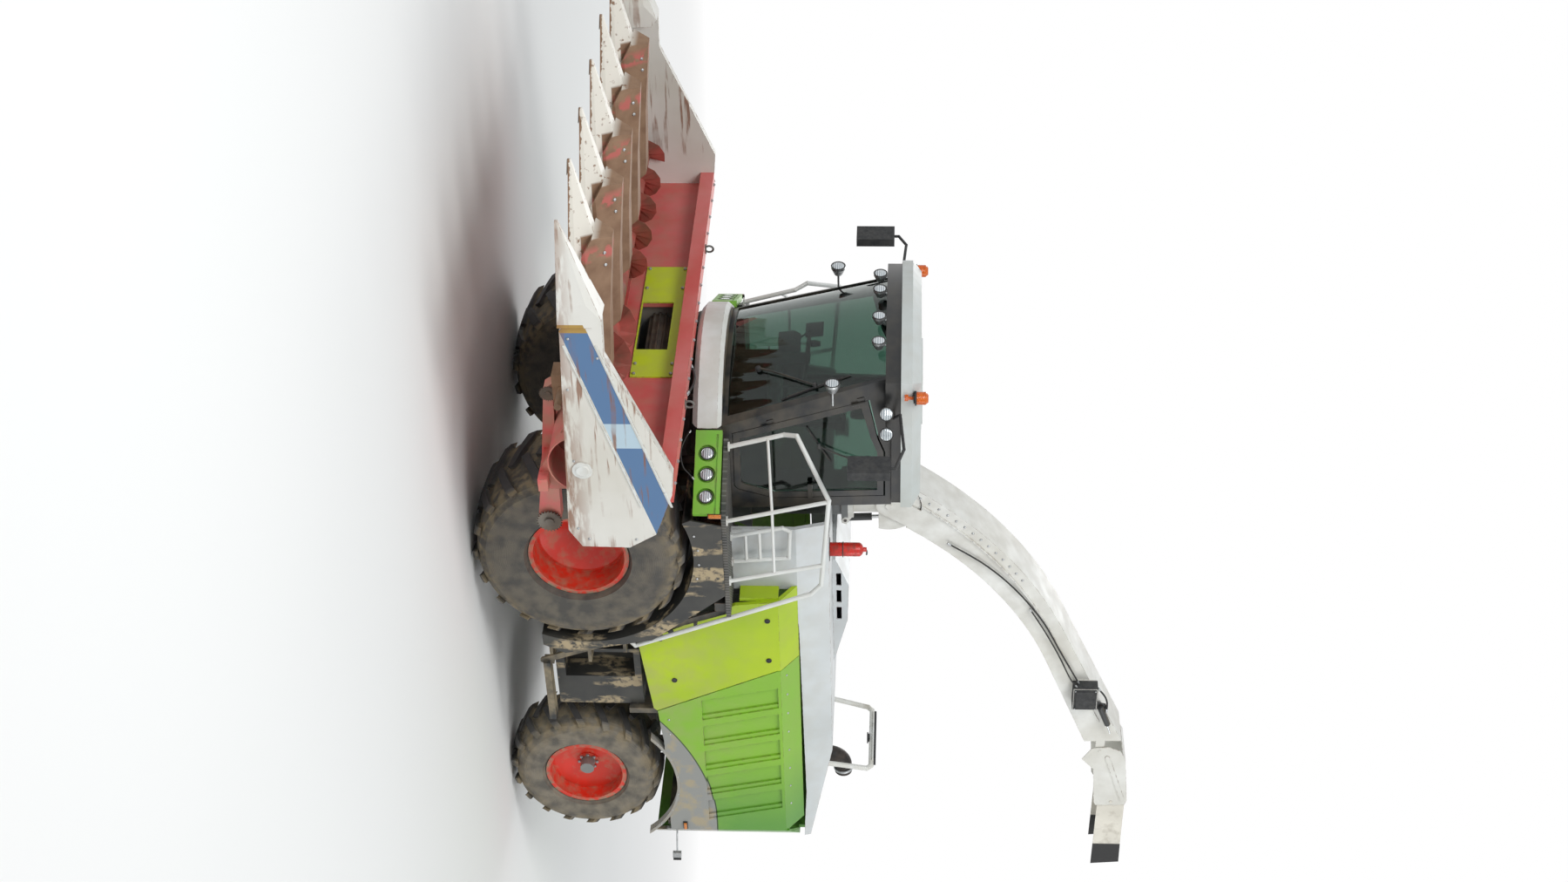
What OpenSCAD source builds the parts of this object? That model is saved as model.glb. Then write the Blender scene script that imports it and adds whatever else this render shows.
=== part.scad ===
/* [Whole machine] */
// Distance of the front axle ahead of the middle of the machine
front_axle_x = 735; // [650:5:820]
// Distance from the front axle back to the rear axle
wheelbase = 3000; // [2950:10:3100]
// Gap left between two pieces that seat on each other
seat_gap = 0.3; // [0.2:0.1:0.6]
// Thickness of the body panels
panel_t = 40; // [25:1:50]

/* [Wheels] */
// Diameter of the front tyres
front_tyre_d = 1850; // [1760:10:1880]
// Width of the front tyres
front_tyre_w = 800; // [680:10:810]
// Bead diameter of the front rims
front_rim_d = 813; // [760:1:840]
// Distance between the middles of the front tyres
front_track = 2500; // [2480:10:2540]
// Diameter of the rear tyres
rear_tyre_d = 1440; // [1340:10:1460]
// Width of the rear tyres
rear_tyre_w = 540; // [440:10:550]
// Bead diameter of the rear rims
rear_rim_d = 711; // [660:1:740]
// Distance between the middles of the rear tyres
rear_track = 2100; // [2080:10:2140]
// Height of the tread lugs
lug_h = 45; // [25:1:55]
// Lugs on each side of a front tyre
front_lugs = 20; // [12:1:22]
// Lugs on each side of a rear tyre
rear_lugs = 18; // [12:1:20]
// Wall thickness of the rims
rim_t = 14; // [8:1:20]

/* [Frame and axles] */
// Underside of the two frame rails above the ground
rail_z = 1090; // [1088:1:1100]
// Depth of the frame rails
rail_h = 200; // [160:5:220]
// Diameter of the front axle tube
axle_tube_d = 300; // [220:5:320]
// Distance of the king pins from the middle plane
kingpin_y = 760; // [740:5:765]
// Diameter of the king pins
kingpin_d = 60; // [40:2:70]
// Distance of the tie rod behind the rear axle
steer_arm = 220; // [190:5:240]
// Diameter of the tie rod
tie_rod_d = 45; // [30:1:50]
// Diameter of the towing pin hole at the rear
hitch_pin_d = 32; // [24:1:40]

/* [Cab] */
// Height of the cab floor above the ground
cab_floor_z = 2140; // [2130:1:2160]
// Height of the cab frame under the roof
cab_top_z = 3580; // [3500:5:3600]
// Half width of the cab at its rear corners
cab_half_w = 950; // [930:2:960]
// Radius of the curved windscreen
screen_r = 1600; // [1500:10:1800]
// Forward lean of the windscreen in degrees
screen_lean = 14.7; // [13:0.1:16]
// Thickness of the cab frame and the door
cab_t = 45; // [30:1:55]
// Thickness of the cab glass
glass_t = 6; // [4:1:8]
// Top of the cab roof above the ground
roof_z = 3830; // [3800:5:3860]

/* [Body] */
// Half width of the side panels
body_half_w = 1400; // [1390:2:1420]
// Half width of the upper walls
wall_half_w = 1200; // [1190:2:1220]
// Top of the engine deck above the ground
deck_z = 3040; // [3020:5:3060]
// Reach of the body behind the rear axle
rear_overhang = 900; // [860:10:960]
// Outer face of the front fenders from the middle plane
fender_y = 1600; // [1590:2:1620]
// Radius of the front wheel arch
arch_r = 985; // [965:5:1000]
// Top of the walkways above the ground
walk_z = 2200; // [2190:2:2210]

/* [Crop spout] */
// Distance of the spout's turning axis behind the front axle
slew_x = -580; // [-590:1:-570]
// Height of the spout's lifting pins
spout_pin_z = 3550; // [3540:2:3560]
// Outer width of the spout
spout_w = 400; // [360:4:420]
// Thickness of the spout's sheet metal
spout_t = 8; // [5:1:12]

/* [Maize header] */
// Distance between two crop rows
row_pitch = 750; // [740:5:760]
// Space between the outer rows and the end panels
row_margin = 70; // [60:5:100]
// Middle of the auger ahead of the front axle
auger_x = 1610; // [1600:2:1620]
// Middle of the auger above the ground
auger_z = 1180; // [1170:2:1190]
// Diameter of the auger flights
auger_d = 490; // [420:5:500]
// Diameter of the auger tube
auger_tube_d = 200; // [120:5:240]
// Reach of the divider tips ahead of the front axle
tip_x = 3900; // [3850:5:3950]

/* [Hidden] */
$fn = 48;

// Wheels and axles
front_z = front_tyre_d / 2;
rear_z = rear_tyre_d / 2;
rear_x = -wheelbase;
body_rear_x = rear_x - rear_overhang;
flange_h = 25;
flange_t = 14;
front_hub_d = 260;
front_hub_z = -60;
front_hub_y = front_track / 2 + front_hub_z - rim_t - seat_gap;
rear_hub_d = 210;
rear_hub_z = 60;
rear_hub_y = rear_track / 2 + rear_hub_z - rim_t - seat_gap;
rear_stub_d = 110;
arm_pin_d = 28;

// Frame
rail_top = rail_z + rail_h;
rail_in = 400;
rail_out = 500;
rail_rear_in = 240;
rail_rear_out = 340;
cross_w = 100;
cross_x = [-1960, body_rear_x + 180];
walk_beam_x = [-650, -110];
cab_post_w = 90;
walk_t = 40;
cab_beam_z = walk_z - walk_t - 100;
walk_beam_y = fender_y - 50;
outrigger_x = [rear_x - 600, -1300];
side_arm_x = -2105;
ball = 1.06;
outrigger_z = 1470;
outrigger_w = 60;
outrigger_h = 60;
panel_in_y = body_half_w - panel_t - seat_gap;
hitch_z = 680;
hitch_x = body_rear_x + 120;

// Header lift
lift_x = 360;
lift_z = 1300;
lift_pin_d = 90;
housing_y = 390;
feeder_y = 435;
feeder_front_x = 1230;
barrel_x = 200;
barrel_z = 620;
rod_x = 950;
rod_z = 1000;
cylinder_y = 300;
ear_in = 55;
ear_out = 75;
cyl_pin_d = 50;

// Spout
slew_r = 205;
ring_r = slew_r + 30;
ring_z = 3180;
neck_r = 292;
spout_r0 = neck_r + 8;
spout_side_t = 12;
spout_pin_d = 60;
spout_cyl = [-885, 3150];
spout_eye = [-860, 3625];
top_c = [-3671, 1557];
top_r = 3976;
bot_c = [-3806, 1742];
bot_r = 3567;
tail_a = 22.4;
tail_top = [-3570, 5845];
tail_bot = [-3580, 5480];
flap_pin = [-3700, 5640];
end_pin = [-4430, 5790];

// Body
deck_edge_y = 1075;
wall_lean_y = 1120;
rear_top_z = deck_z - 220;
cover_slots = [-1750, -1540, -1330];
rear_arch_r = 900;
fender_in_y = body_half_w - 70;
slope_x = rear_x + 200;
rest_x = body_rear_x + 232;
exhaust_x = body_rear_x + 140;
louvres = 5;
louvre_step = 330;
louvre_x = rear_x + 850;
louvre_w = 250;
grille_slots = 8;
lamp_a = [880, 950];
lamp_b = [500, 1600];
lamp_len = norm(lamp_b - lamp_a);
lamp_x = [210, 400, 600];
// Rear edge and underside of each tread
steps = [[-1350, 560], [-1320, 900], [-1200, 1220], [-1060, 1540], [-875, 1860]];
ladder_y1 = fender_y - 80;
ladder_y0 = ladder_y1 - 330;
rail_d = 40;

// Cab
cab_rear_x = 20;
visor_z = 3530;
// Lamps under the visor: x, y and turn about z
visor_lamps = [[1500, 200, 0], [1455, 500, 0]];
side_lamps = [[1070, 985, 50], [870, 985, 60]];
side_lamp_z = visor_z + 10;
visor_inset = 28;
// Half width of the visor at x
function visor_side_y(x) = 930 - visor_inset - (x - 30 - visor_inset) * 25 / (1670 - visor_inset);
cab_base_z = 2010;
cab_taper = 5.6;
cab_tuck = 2.8;
screen_axis_x = 1120 - screen_r / cos(screen_lean);
door_gap = 6;
door_drop = 9;
door_handle_y = 890;
hinge_foot = [766, 14, 88];
hinge_lean = 14.79;
hinge_d = 24;
hinge_l = 60;
hinge_at = [250, 1050];
function hood_z(x) = deck_z + (x - slope_x) * (deck_z - rear_top_z) / (slope_x - body_rear_x);
bumper_x = 60;
bumper_r = 1210;
bumper_t = 50;
roof_under_z = 3660;
rest_z = hood_z(rest_x) + 22;
exhaust_z = hood_z(exhaust_x) + 20;
neck_w = spout_w / 2 - 18;
arc_steps = 40;
root_top_a = 56;
root_bot_a = 58;

// Header
roll_x = 1040;
roll_low_z = 1240;
roll_low_r = 105;
roll_high_z = 1520;
roll_high_r = 110;
roll_shaft_d = 60;
wall_x = feeder_front_x + seat_gap;
wall_t = 40;
trough_r = auger_d / 2 + 30;
trough_front_x = auger_x + 270;
deck_x = trough_front_x + seat_gap;
row_deck_z = 1180;
slot_w = 45;
deck_w = 150;
chain_x0 = 2020;
chain_x1 = 2960;
chain_w = 48;
chain_z = 1232;
lugs_per_chain = 7;
hood_w = row_pitch / 2 - 190;
header_half_w = 3 * row_pitch + row_margin;
rib_pitch = (header_half_w - 115) / 3;
auger_half = header_half_w - 30;
auger_turn = 360 * (auger_half - 400) / 440;
module place() translate([front_axle_x, 0, 0]) children();
module both_sides() {
    children();
    mirror([0, 1, 0]) children();
}
// Outline in x and z, from y = a to y = b
module across(a, b) translate([0, b, 0]) rotate([90, 0, 0]) linear_extrude(b - a) children();
// Outline in y and z, from x = a to x = b
module along(a, b) translate([a, 0, 0]) rotate([90, 0, 90]) linear_extrude(b - a) children();
// Block between two corners
module block(p, q) translate(p) cube(q - p);
// Round bar between two points
module rod(p, q, d) {
    v = q - p;
    translate(p) rotate([0, acos(v[2] / norm(v)), atan2(v[1], v[0])])
        cylinder(d = d, h = norm(v));
}
// Tube along a route of points, with a ball at each corner
module tube(pts, d) {
    for (i = [0:len(pts) - 2]) rod(pts[i], pts[i + 1], d);
    for (i = [1:len(pts) - 2]) translate(pts[i]) sphere(d = d * ball);
}
// Shaft along y
module shaft(x, z, d, a, b) across(a, b) translate([x, z]) circle(d = d);
// Flat rectangle between two corners
module block2(p, q) translate(p) square(q - p);
// Flat bar in the plane of x and z between two points
module link(p, q, w) {
    v = q - p;
    flat_w = w * 0.99;
    translate(p) rotate(atan2(v[1], v[0])) translate([0, -flat_w / 2]) square([norm(v), flat_w]);
    translate(p) circle(d = w);
    translate(q) circle(d = w);
}

// Half outline of a tyre: radius, half width. b is the bead radius, hb the bead's half width
function tyre_out(b, hb, r, hw) = [[b, hb], [b + 30, hb], [b + 55, hw - 14],
    [(b + r - lug_h) / 2, hw - 2], [r - lug_h - 90, hw - 8], [r - lug_h - 34, hw - 42],
    [r - lug_h - 6, hw - 110], [r - lug_h, hw / 3]];
function tyre_in(b, hb, r, hw) = [[r - lug_h - 36, hw / 3], [r - lug_h - 42, hw - 130],
    [r - lug_h - 110, hw - 48], [(b + r - lug_h) / 2, hw - 40], [b + 60, hw - 50],
    [b + 34, hb - 55], [b, hb - 60]];
function flip(pts) = [for (i = [len(pts) - 1:-1:0]) [pts[i][0], -pts[i][1]]];
// Outer limit of the lugs
function tread_top(r, hw) = [[r - lug_h - 60, hw - 2], [r - 75, hw - 2], [r - 18, hw - 60],
    [r, hw / 3]];

module tyre_lugs(r, hw, count) {
    for (side = [-1, 1], i = [0:count - 1])
        rotate([0, 0, (i + (side > 0 ? 0 : 0.5)) * 360 / count])
            translate([r - lug_h - 40, 0, 0]) rotate([0, 90, 0]) linear_extrude(lug_h + 60)
                polygon([[side * hw * 1.02, -r * 0.24], [side * hw * 1.02, -r * 0.145],
                    [-side * 18, r * 0.052], [-side * 40, -r * 0.012], [-side * 6, -r * 0.04]]);
}

module tyre(d, w, rim_d, count) {
    r = d / 2;
    hw = w / 2;
    b = rim_d / 2 + seat_gap;
    hb = hw * 0.84 - flange_t - seat_gap;
    rotate_extrude() polygon(concat(tyre_out(b, hb, r, hw), flip(tyre_out(b, hb, r, hw)),
        flip(tyre_in(b, hb, r, hw)), tyre_in(b, hb, r, hw)));
    intersection() {
        tyre_lugs(r, hw, count);
        rotate_extrude() polygon(concat(tread_top(r, hw), flip(tread_top(r, hw))));
    }
}

// Rim with a dished disc: z is measured outwards from the middle of the tyre
module rim(w, rim_d, disc_z, hub_z, hub_d, cap_h) {
    r = rim_d / 2;
    h = w / 2 * 0.84;
    rotate_extrude() polygon([[r, -h + flange_t], [r + flange_h, -h + flange_t],
        [r + flange_h, -h], [r - rim_t, -h], [r - rim_t, disc_z - rim_t],
        [r - rim_t - 30, disc_z - rim_t], [hub_d / 2 + 10, hub_z - rim_t], [0, hub_z - rim_t],
        [0, hub_z], [hub_d / 2 + 16, hub_z], [r - rim_t - 24, disc_z], [r - rim_t, disc_z],
        [r - rim_t, h], [r + flange_h, h], [r + flange_h, h - flange_t], [r, h - flange_t]]);
    translate([0, 0, hub_z - rim_t / 2]) {
        cylinder(d = hub_d * 0.62, h = cap_h + rim_t / 2);
        cylinder(d = hub_d, h = rim_t / 2 + 12);
    }
}

module wheel_at(x, y, z) {
    if (y > 0) translate([x, y, z]) rotate([-90, 0, 0]) children();
    else mirror([0, 1, 0]) translate([x, -y, z]) rotate([-90, 0, 0]) children();
}

module front_wheel_place(side) place() wheel_at(0, side * front_track / 2, front_z) children();
module front_rim() rim(front_tyre_w, front_rim_d, 90, front_hub_z, front_hub_d, 90);
module front_tyre() tyre(front_tyre_d, front_tyre_w, front_rim_d, front_lugs);
module front_rim_left() color("#b8452c") front_wheel_place(1) front_rim();
module front_rim_right() color("#b8452c") front_wheel_place(-1) front_rim();
module front_tyre_left() color("#2e2c2a") front_wheel_place(1) front_tyre();
module front_tyre_right() color("#2e2c2a") front_wheel_place(-1) front_tyre();

module rear_wheel_place(side) place() wheel_at(rear_x, side * rear_track / 2, rear_z) children();
module rear_rim() rim(rear_tyre_w, rear_rim_d, 90, rear_hub_z, rear_hub_d, 110);
module rear_tyre() tyre(rear_tyre_d, rear_tyre_w, rear_rim_d, rear_lugs);
module rear_rim_left() color("#b8452c") rear_wheel_place(1) rear_rim();
module rear_rim_right() color("#b8452c") rear_wheel_place(-1) rear_rim();
module rear_tyre_left() color("#2e2c2a") rear_wheel_place(1) rear_tyre();
module rear_tyre_right() color("#2e2c2a") rear_wheel_place(-1) rear_tyre();

// Rails, cross members, outriggers for the panels, cab posts and the towing jaw
module main_frame() color("#4a4c4c") place() {
    both_sides() {
        block([cross_x[0] + cross_w + seat_gap, rail_in, rail_z], [200, rail_out, rail_top]);
        block([cross_x[1] + cross_w + seat_gap, rail_rear_in, rail_z],
            [cross_x[0] - seat_gap, rail_rear_out, rail_top]);
        for (x = walk_beam_x)
            block([x, rail_in, rail_top - 1], [x + cab_post_w, rail_out, cab_beam_z + 1]);
        block([60, rail_in, rail_top - 1], [60 + cab_post_w, rail_out, cab_base_z - seat_gap]);
        block([outrigger_x[0], rail_rear_in, rail_top - 1],
            [outrigger_x[0] + outrigger_w, rail_rear_out, outrigger_z - seat_gap]);
        block([outrigger_x[1], rail_in, rail_top - 1],
            [outrigger_x[1] + outrigger_w, rail_out, outrigger_z - seat_gap]);
        block([side_arm_x, rail_rear_out - 1, rail_z + 110],
            [side_arm_x + outrigger_w, panel_in_y, rail_z + 170]);
        block([side_arm_x, panel_in_y - 60, rail_z + 110],
            [side_arm_x + outrigger_w, panel_in_y, rail_z + 500]);
    }
    // Cross members that the rails butt against
    for (x = cross_x)
        block([x, -rail_out, rail_z + 20], [x + cross_w, rail_out, rail_top - 20]);
    both_sides() for (x = walk_beam_x)
        block([x, rail_in, cab_beam_z], [x + cab_post_w, walk_beam_y, walk_z - walk_t - seat_gap]);
    for (x = outrigger_x)
        block([x, -panel_in_y, outrigger_z], [x + outrigger_w, panel_in_y, outrigger_z + outrigger_h]);
    both_sides() across(20, 44) difference() {
        polygon([[hitch_x - 60, hitch_z - 60], [hitch_x + 140, hitch_z - 60],
            [hitch_x + 180, rail_z + 60], [hitch_x + 60, rail_z + 60]]);
        translate([hitch_x, hitch_z]) circle(d = hitch_pin_d);
    }
}

// Axle tube with a final drive at each end
module front_axle() color("#6b6c69") place() {
    shaft(0, front_z, axle_tube_d, -560, 560);
    both_sides() {
        shaft(0, front_z, axle_tube_d * 1.35, 559, 760);
        shaft(0, front_z, front_hub_d, 759, front_hub_y);
        block([-100, rail_in + 10, front_z], [100, rail_out - 10, rail_z - seat_gap]);
        for (y = [cylinder_y - ear_out, cylinder_y + ear_in])
            across(y, y + ear_out - ear_in) difference() {
                link([barrel_x, barrel_z], [0, front_z - 60], 110);
                translate([barrel_x, barrel_z]) circle(d = cyl_pin_d + 2 * seat_gap);
            }
    }
}

module rear_axle_beam() color("#4a4c4c") place() {
    across(-kingpin_y + 125, kingpin_y - 125)
        polygon([[rear_x - 80, rear_z - 70], [rear_x + 80, rear_z - 70],
            [rear_x + 80, rear_z + 70], [rear_x - 80, rear_z + 70]]);
    both_sides() difference() {
        union() {
            for (z = [rear_z - 105, rear_z + 70])
                translate([rear_x, kingpin_y, z]) cylinder(r = 75, h = 35);
            for (z = [rear_z - 105, rear_z + 70])
                block([rear_x - 75, kingpin_y - 200, z], [rear_x + 75, kingpin_y, z + 35]);
        }
        translate([rear_x, kingpin_y, rear_z - 200]) cylinder(d = kingpin_d + 2 * seat_gap, h = 400);
    }
    // Cradle that the beam hangs in under the rails
    for (x = [rear_x - 140, rear_x + 95])
        along(x, x + 45) polygon([[-rail_rear_out, rail_z - seat_gap], [rail_rear_out, rail_z - seat_gap],
            [150, rear_z - 60], [-150, rear_z - 60]]);
    shaft_x(rear_z, 110, rear_x - 140, rear_x + 140);
}
module shaft_x(z, d, a, b) translate([a, 0, z]) rotate([0, 90, 0]) cylinder(d = d, h = b - a);

// Knuckle: king pin, stub axle and the arm to the tie rod
module steering_knuckle() {
    translate([rear_x, kingpin_y, rear_z - 105]) cylinder(d = kingpin_d, h = 210);
    translate([rear_x, kingpin_y, rear_z - 64]) cylinder(r = 70, h = 128);
    shaft(rear_x, rear_z, rear_stub_d, kingpin_y + 20, rear_hub_y);
    translate([0, 0, rear_z - 64]) linear_extrude(36)
        link([rear_x, kingpin_y], [rear_x - steer_arm, kingpin_y], 80);
    translate([rear_x - steer_arm, kingpin_y, rear_z - 110]) cylinder(d = arm_pin_d, h = 60);
}
module steering_knuckle_left() color("#5c5d5a") place() steering_knuckle();
module steering_knuckle_right() color("#5c5d5a") place() mirror([0, 1, 0]) steering_knuckle();
module tie_rod() color("#5c5d5a") place() {
    z = rear_z - 110;
    x = rear_x - steer_arm;
    rod([x, -kingpin_y + 30, z + 20], [x, kingpin_y - 30, z + 20], tie_rod_d - 10);
    both_sides() difference() {
        translate([x, kingpin_y, z]) cylinder(r = 34, h = 40);
        translate([x, kingpin_y, z - 1]) cylinder(d = arm_pin_d + 2 * seat_gap, h = 42);
    }
}

module engine_block() color("#55575a") place()
    block([-2650, -450, rail_top + seat_gap], [-1450, 450, 2350]);

// Chopper housing between the rails and the crop chute up to the turning ring
module crop_tower() color("#7f827f") place() {
    across(-housing_y, housing_y) {
        polygon([[-560, 1110], [lift_x, 1110], [lift_x, 1560], [200, 1760], [-560, 1900]]);
        translate([lift_x, lift_z]) circle(r = 235);
    }
    both_sides() block([-540, housing_y - 1, rail_top + seat_gap], [-130, rail_out - 20, rail_top + 25]);
    across(-housing_y - 46, housing_y + 46) translate([lift_x, lift_z]) circle(d = lift_pin_d);
    across(-240, 240) polygon([[-560, 1890], [100, 1780], [-330, 2300], [slew_x - 250, 2300]]);
    translate([slew_x, 0, 2290]) cylinder(r = slew_r, h = ring_z - 2290);
    translate([slew_x, 0, ring_z - 60]) cylinder(r = ring_r, h = 60);
}

// Deck over the engine, with the raised air cover in its middle
module engine_hood() color("#b4bab9") place() {
    along(slope_x - 1, -1000) polygon([[-deck_edge_y, deck_z - panel_t], [deck_edge_y, deck_z - panel_t],
        [deck_edge_y, deck_z], [-deck_edge_y, deck_z]]);
    across(-deck_edge_y, deck_edge_y) polygon([[slope_x, deck_z - panel_t], [slope_x, deck_z],
        [body_rear_x, rear_top_z], [body_rear_x, rear_top_z - panel_t]]);
    // Narrow stretches beside the crop chute and the strip behind the cab
    both_sides() block([-1001, slew_r + 70, deck_z - panel_t], [-280, deck_edge_y, deck_z]);
    difference() {
        across(-450, 450) polygon([[-1010, deck_z - 1], [-1010, deck_z + 30], [-1330, deck_z + 150],
            [-1760, deck_z + 135], [-2300, deck_z - 1]]);
        across(-440, 440) polygon([[-1020, deck_z - 2], [-1020, deck_z + 18], [-1333, deck_z + 140],
            [-1759, deck_z + 125], [-2260, deck_z - 2]]);
        both_sides() for (x = cover_slots)
            across(430, 460) translate([x, deck_z + 35]) square([150, 45]);
    }
}

// Upper walls: upright behind the walkway, leaning in above the side panels
module side_walls() color("#b4bab9") place() both_sides() {
    intersection() {
        along(body_rear_x, cab_rear_x - 30) polygon([[wall_half_w, walk_z + seat_gap],
            [wall_half_w, 2760], [wall_lean_y, deck_z], [wall_lean_y - panel_t, deck_z],
            [wall_half_w - panel_t, 2750], [wall_half_w - panel_t, walk_z + seat_gap]]);
        across(900, wall_half_w + 10) polygon([[cab_rear_x - 30, walk_z], [cab_rear_x - 30, deck_z],
            [slope_x, deck_z], [body_rear_x + 1, rear_top_z], [body_rear_x + 1, rear_top_z - 60],
            [rear_x - 290, 2790], [-1160, 2765], [-700, 2700], [-700, walk_z]]);
    }
}

// Reach of the side panels across the body
module panel_span() across(wall_half_w - 200, body_half_w + 100) children();
// Side section of the body: upright panel with a chamfer leaning in at its top
module side_section(a, b) along(a, b) polygon([[body_half_w, 1300], [body_half_w, 2600],
    [wall_half_w + 1, 2760], [wall_half_w + 1, 2760 - panel_t * 1.25],
    [body_half_w - panel_t, 2580], [body_half_w - panel_t, 1300]]);

// Bright panel behind the steps: a return flange closes its front edge
module service_panels() color("#a9cf3c") place() both_sides() {
    intersection() {
        side_section(-2100, -600);
        panel_span() polygon([[-660, 2760], [-1500, 2760], [-1510, 2570], [-2030, 1460],
            [-2000, 1430], [-1190, 1340], [-720, 2220]]);
    }
    across(wall_half_w + seat_gap, body_half_w - panel_t + 1) intersection() {
        polygon([[-700, walk_z + 60], [-664, walk_z + 60], [-664, 2600], [-700, 2600]]);
    }
}

// Panels with the slanted louvres over the rear wheel
module louvre_panels() color("#4f9a3f") place() both_sides() {
    intersection() {
        side_section(rear_x - 620, -1400);
        panel_span() difference() {
            polygon([[-1506, 2765], [rear_x - 619, 2765], [rear_x - 619, 1500], [rear_x + 580, 1500],
                [rear_x + 750, 1480], [-2040, 1465], [-1517, 2575]]);
            translate([rear_x, rear_z]) circle(r = rear_arch_r, $fn = 180);
            for (i = [0:louvres - 1]) translate([louvre_x - i * louvre_step, 1870])
                polygon([[0, 0], [louvre_w, 0], [louvre_w + 170, 700], [170, 700]]);
        }
    }
    // Slats of the louvres, each turned out at its rear edge
    for (i = [0:louvres - 1]) across(body_half_w - panel_t, body_half_w - 12)
        translate([louvre_x - i * louvre_step, 1870])
            polygon([[-1, -1], [50, -1], [215, 701], [169, 701]]);
    for (i = [0:louvres - 1]) across(body_half_w - panel_t, body_half_w - 28)
        translate([louvre_x - i * louvre_step, 1870])
            polygon([[49, -1], [louvre_w + 1, -1], [louvre_w + 171, 701], [214, 701]]);
}

// Rear panel with corners turned to the sides and a slotted grille
module rear_panel() color("#4f9a3f") place() {
    difference() {
        translate([0, 0, 1330]) linear_extrude(rear_top_z - panel_t - seat_gap - 1330) difference() {
            polygon([[rear_x - 621, body_half_w], [rear_x - 621, -body_half_w], [body_rear_x, -wall_half_w + 30],
                [body_rear_x, wall_half_w - 30]]);
            polygon([[rear_x - 500, body_half_w - panel_t], [rear_x - 500, -body_half_w + panel_t],
                [rear_x - 640, -body_half_w + panel_t], [body_rear_x + panel_t, -wall_half_w + 60],
                [body_rear_x + panel_t, wall_half_w - 60], [rear_x - 640, body_half_w - panel_t]]);
        }
        for (i = [0:grille_slots - 1]) block([body_rear_x - 5, -850, 1500 + i * 130],
            [body_rear_x + panel_t + 5, 850, 1570 + i * 130]);
        // Corners cut away above the side panels' slope
        both_sides() across(wall_half_w - 100, body_half_w + 100) polygon([[rear_x - 500, 2400],
            [rear_x - 600, 2620], [body_rear_x - 20, 2720], [body_rear_x - 20, 3100],
            [rear_x - 500, 3100]]);
        // Room for the rear wheels when they steer
        both_sides() block([rear_x - 700, 900, 1300], [rear_x - 500, body_half_w + 100, 1460]);
    }
}

// Arched lips over the rear wheels
module rear_fenders() color("#9da3a1") place() both_sides() {
    across(fender_in_y, body_half_w) intersection() {
        difference() {
            translate([rear_x, rear_z]) circle(r = rear_arch_r - seat_gap, $fn = 180);
            translate([rear_x, rear_z]) circle(r = rear_arch_r - 30, $fn = 180);
        }
        polygon([[rear_x + 800, 1390], [rear_x + 1100, 1700], [rear_x - 1000, 1700],
            [rear_x - 700, 1290]]);
    }
}

// Front fenders: outer skirt and the curved liner over the tyre
module fender_outline() polygon([[360, walk_z - walk_t - seat_gap], [-430, walk_z - walk_t - seat_gap],
    [-640, 1900], [-960, 1500], [-1130, 720], [-1030, 530], [-900, 530], [0, 1000], [420, 1900]]);
module front_fenders() color("#2c2c2b") place() both_sides() {
    across(fender_y - 14, fender_y) difference() {
        fender_outline();
        translate([0, front_z]) circle(r = arch_r, $fn = 180);
    }
    across(880, fender_y - 13) intersection() {
        difference() {
            translate([0, front_z]) circle(r = arch_r + 14, $fn = 180);
            translate([0, front_z]) circle(r = arch_r, $fn = 180);
        }
        fender_outline();
    }
    across(880, fender_y - 13) block2([-14, front_z + arch_r + 6], [2, walk_z - walk_t - seat_gap]);
}

// Lockers between the wheels, with an open recess towards the steps
module side_lockers() color("#3a3b3a") place() both_sides() {
    difference() {
        block([-2040, 780, 560], [-1360, 1300, 1330]);
        block([-1700, 1060, 640], [-1400, 1301, 1270]);
    }
    block([-1800, rail_out - 100, 1040], [-1500, 781, rail_z - seat_gap]);
}

// Walkways beside the cab, cut at the front to meet the lamp panels
module walkways() color("#3d3d3b") place() both_sides()
    translate([0, 0, walk_z - walk_t]) linear_extrude(walk_t) difference() {
        polygon([[lamp_a[0] - 66, lamp_a[1] + 30], [lamp_b[0] - 66, fender_y - 20],
            [-690, fender_y - 20], [-690, 500], [-560, 500], [-560, cab_half_w + 12],
            [cab_rear_x - 30, cab_half_w + 12]]);
    }

// Steps behind the front wheel: five treads between two stringers
module ladder() color("#3a3b3a") place() {
    for (s = steps) difference() {
        block([s[0], ladder_y0 + 10, s[1]], [s[0] + 240, ladder_y1 - 10, s[1] + 30]);
        for (x = [30:50:200])
            block([s[0] + x, ladder_y0 + 50, s[1] - 1], [s[0] + x + 25, ladder_y1 - 50, s[1] + 31]);
    }
    for (y = [ladder_y0, ladder_y1 - 20])
        across(y, y + 20) link([-1300, 500], [-690, walk_z - walk_t - 30 - seat_gap], 60);
    block([-2000, ladder_y1 - 80, 500], [-1300, ladder_y1 + 40, 560]);
}

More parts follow.
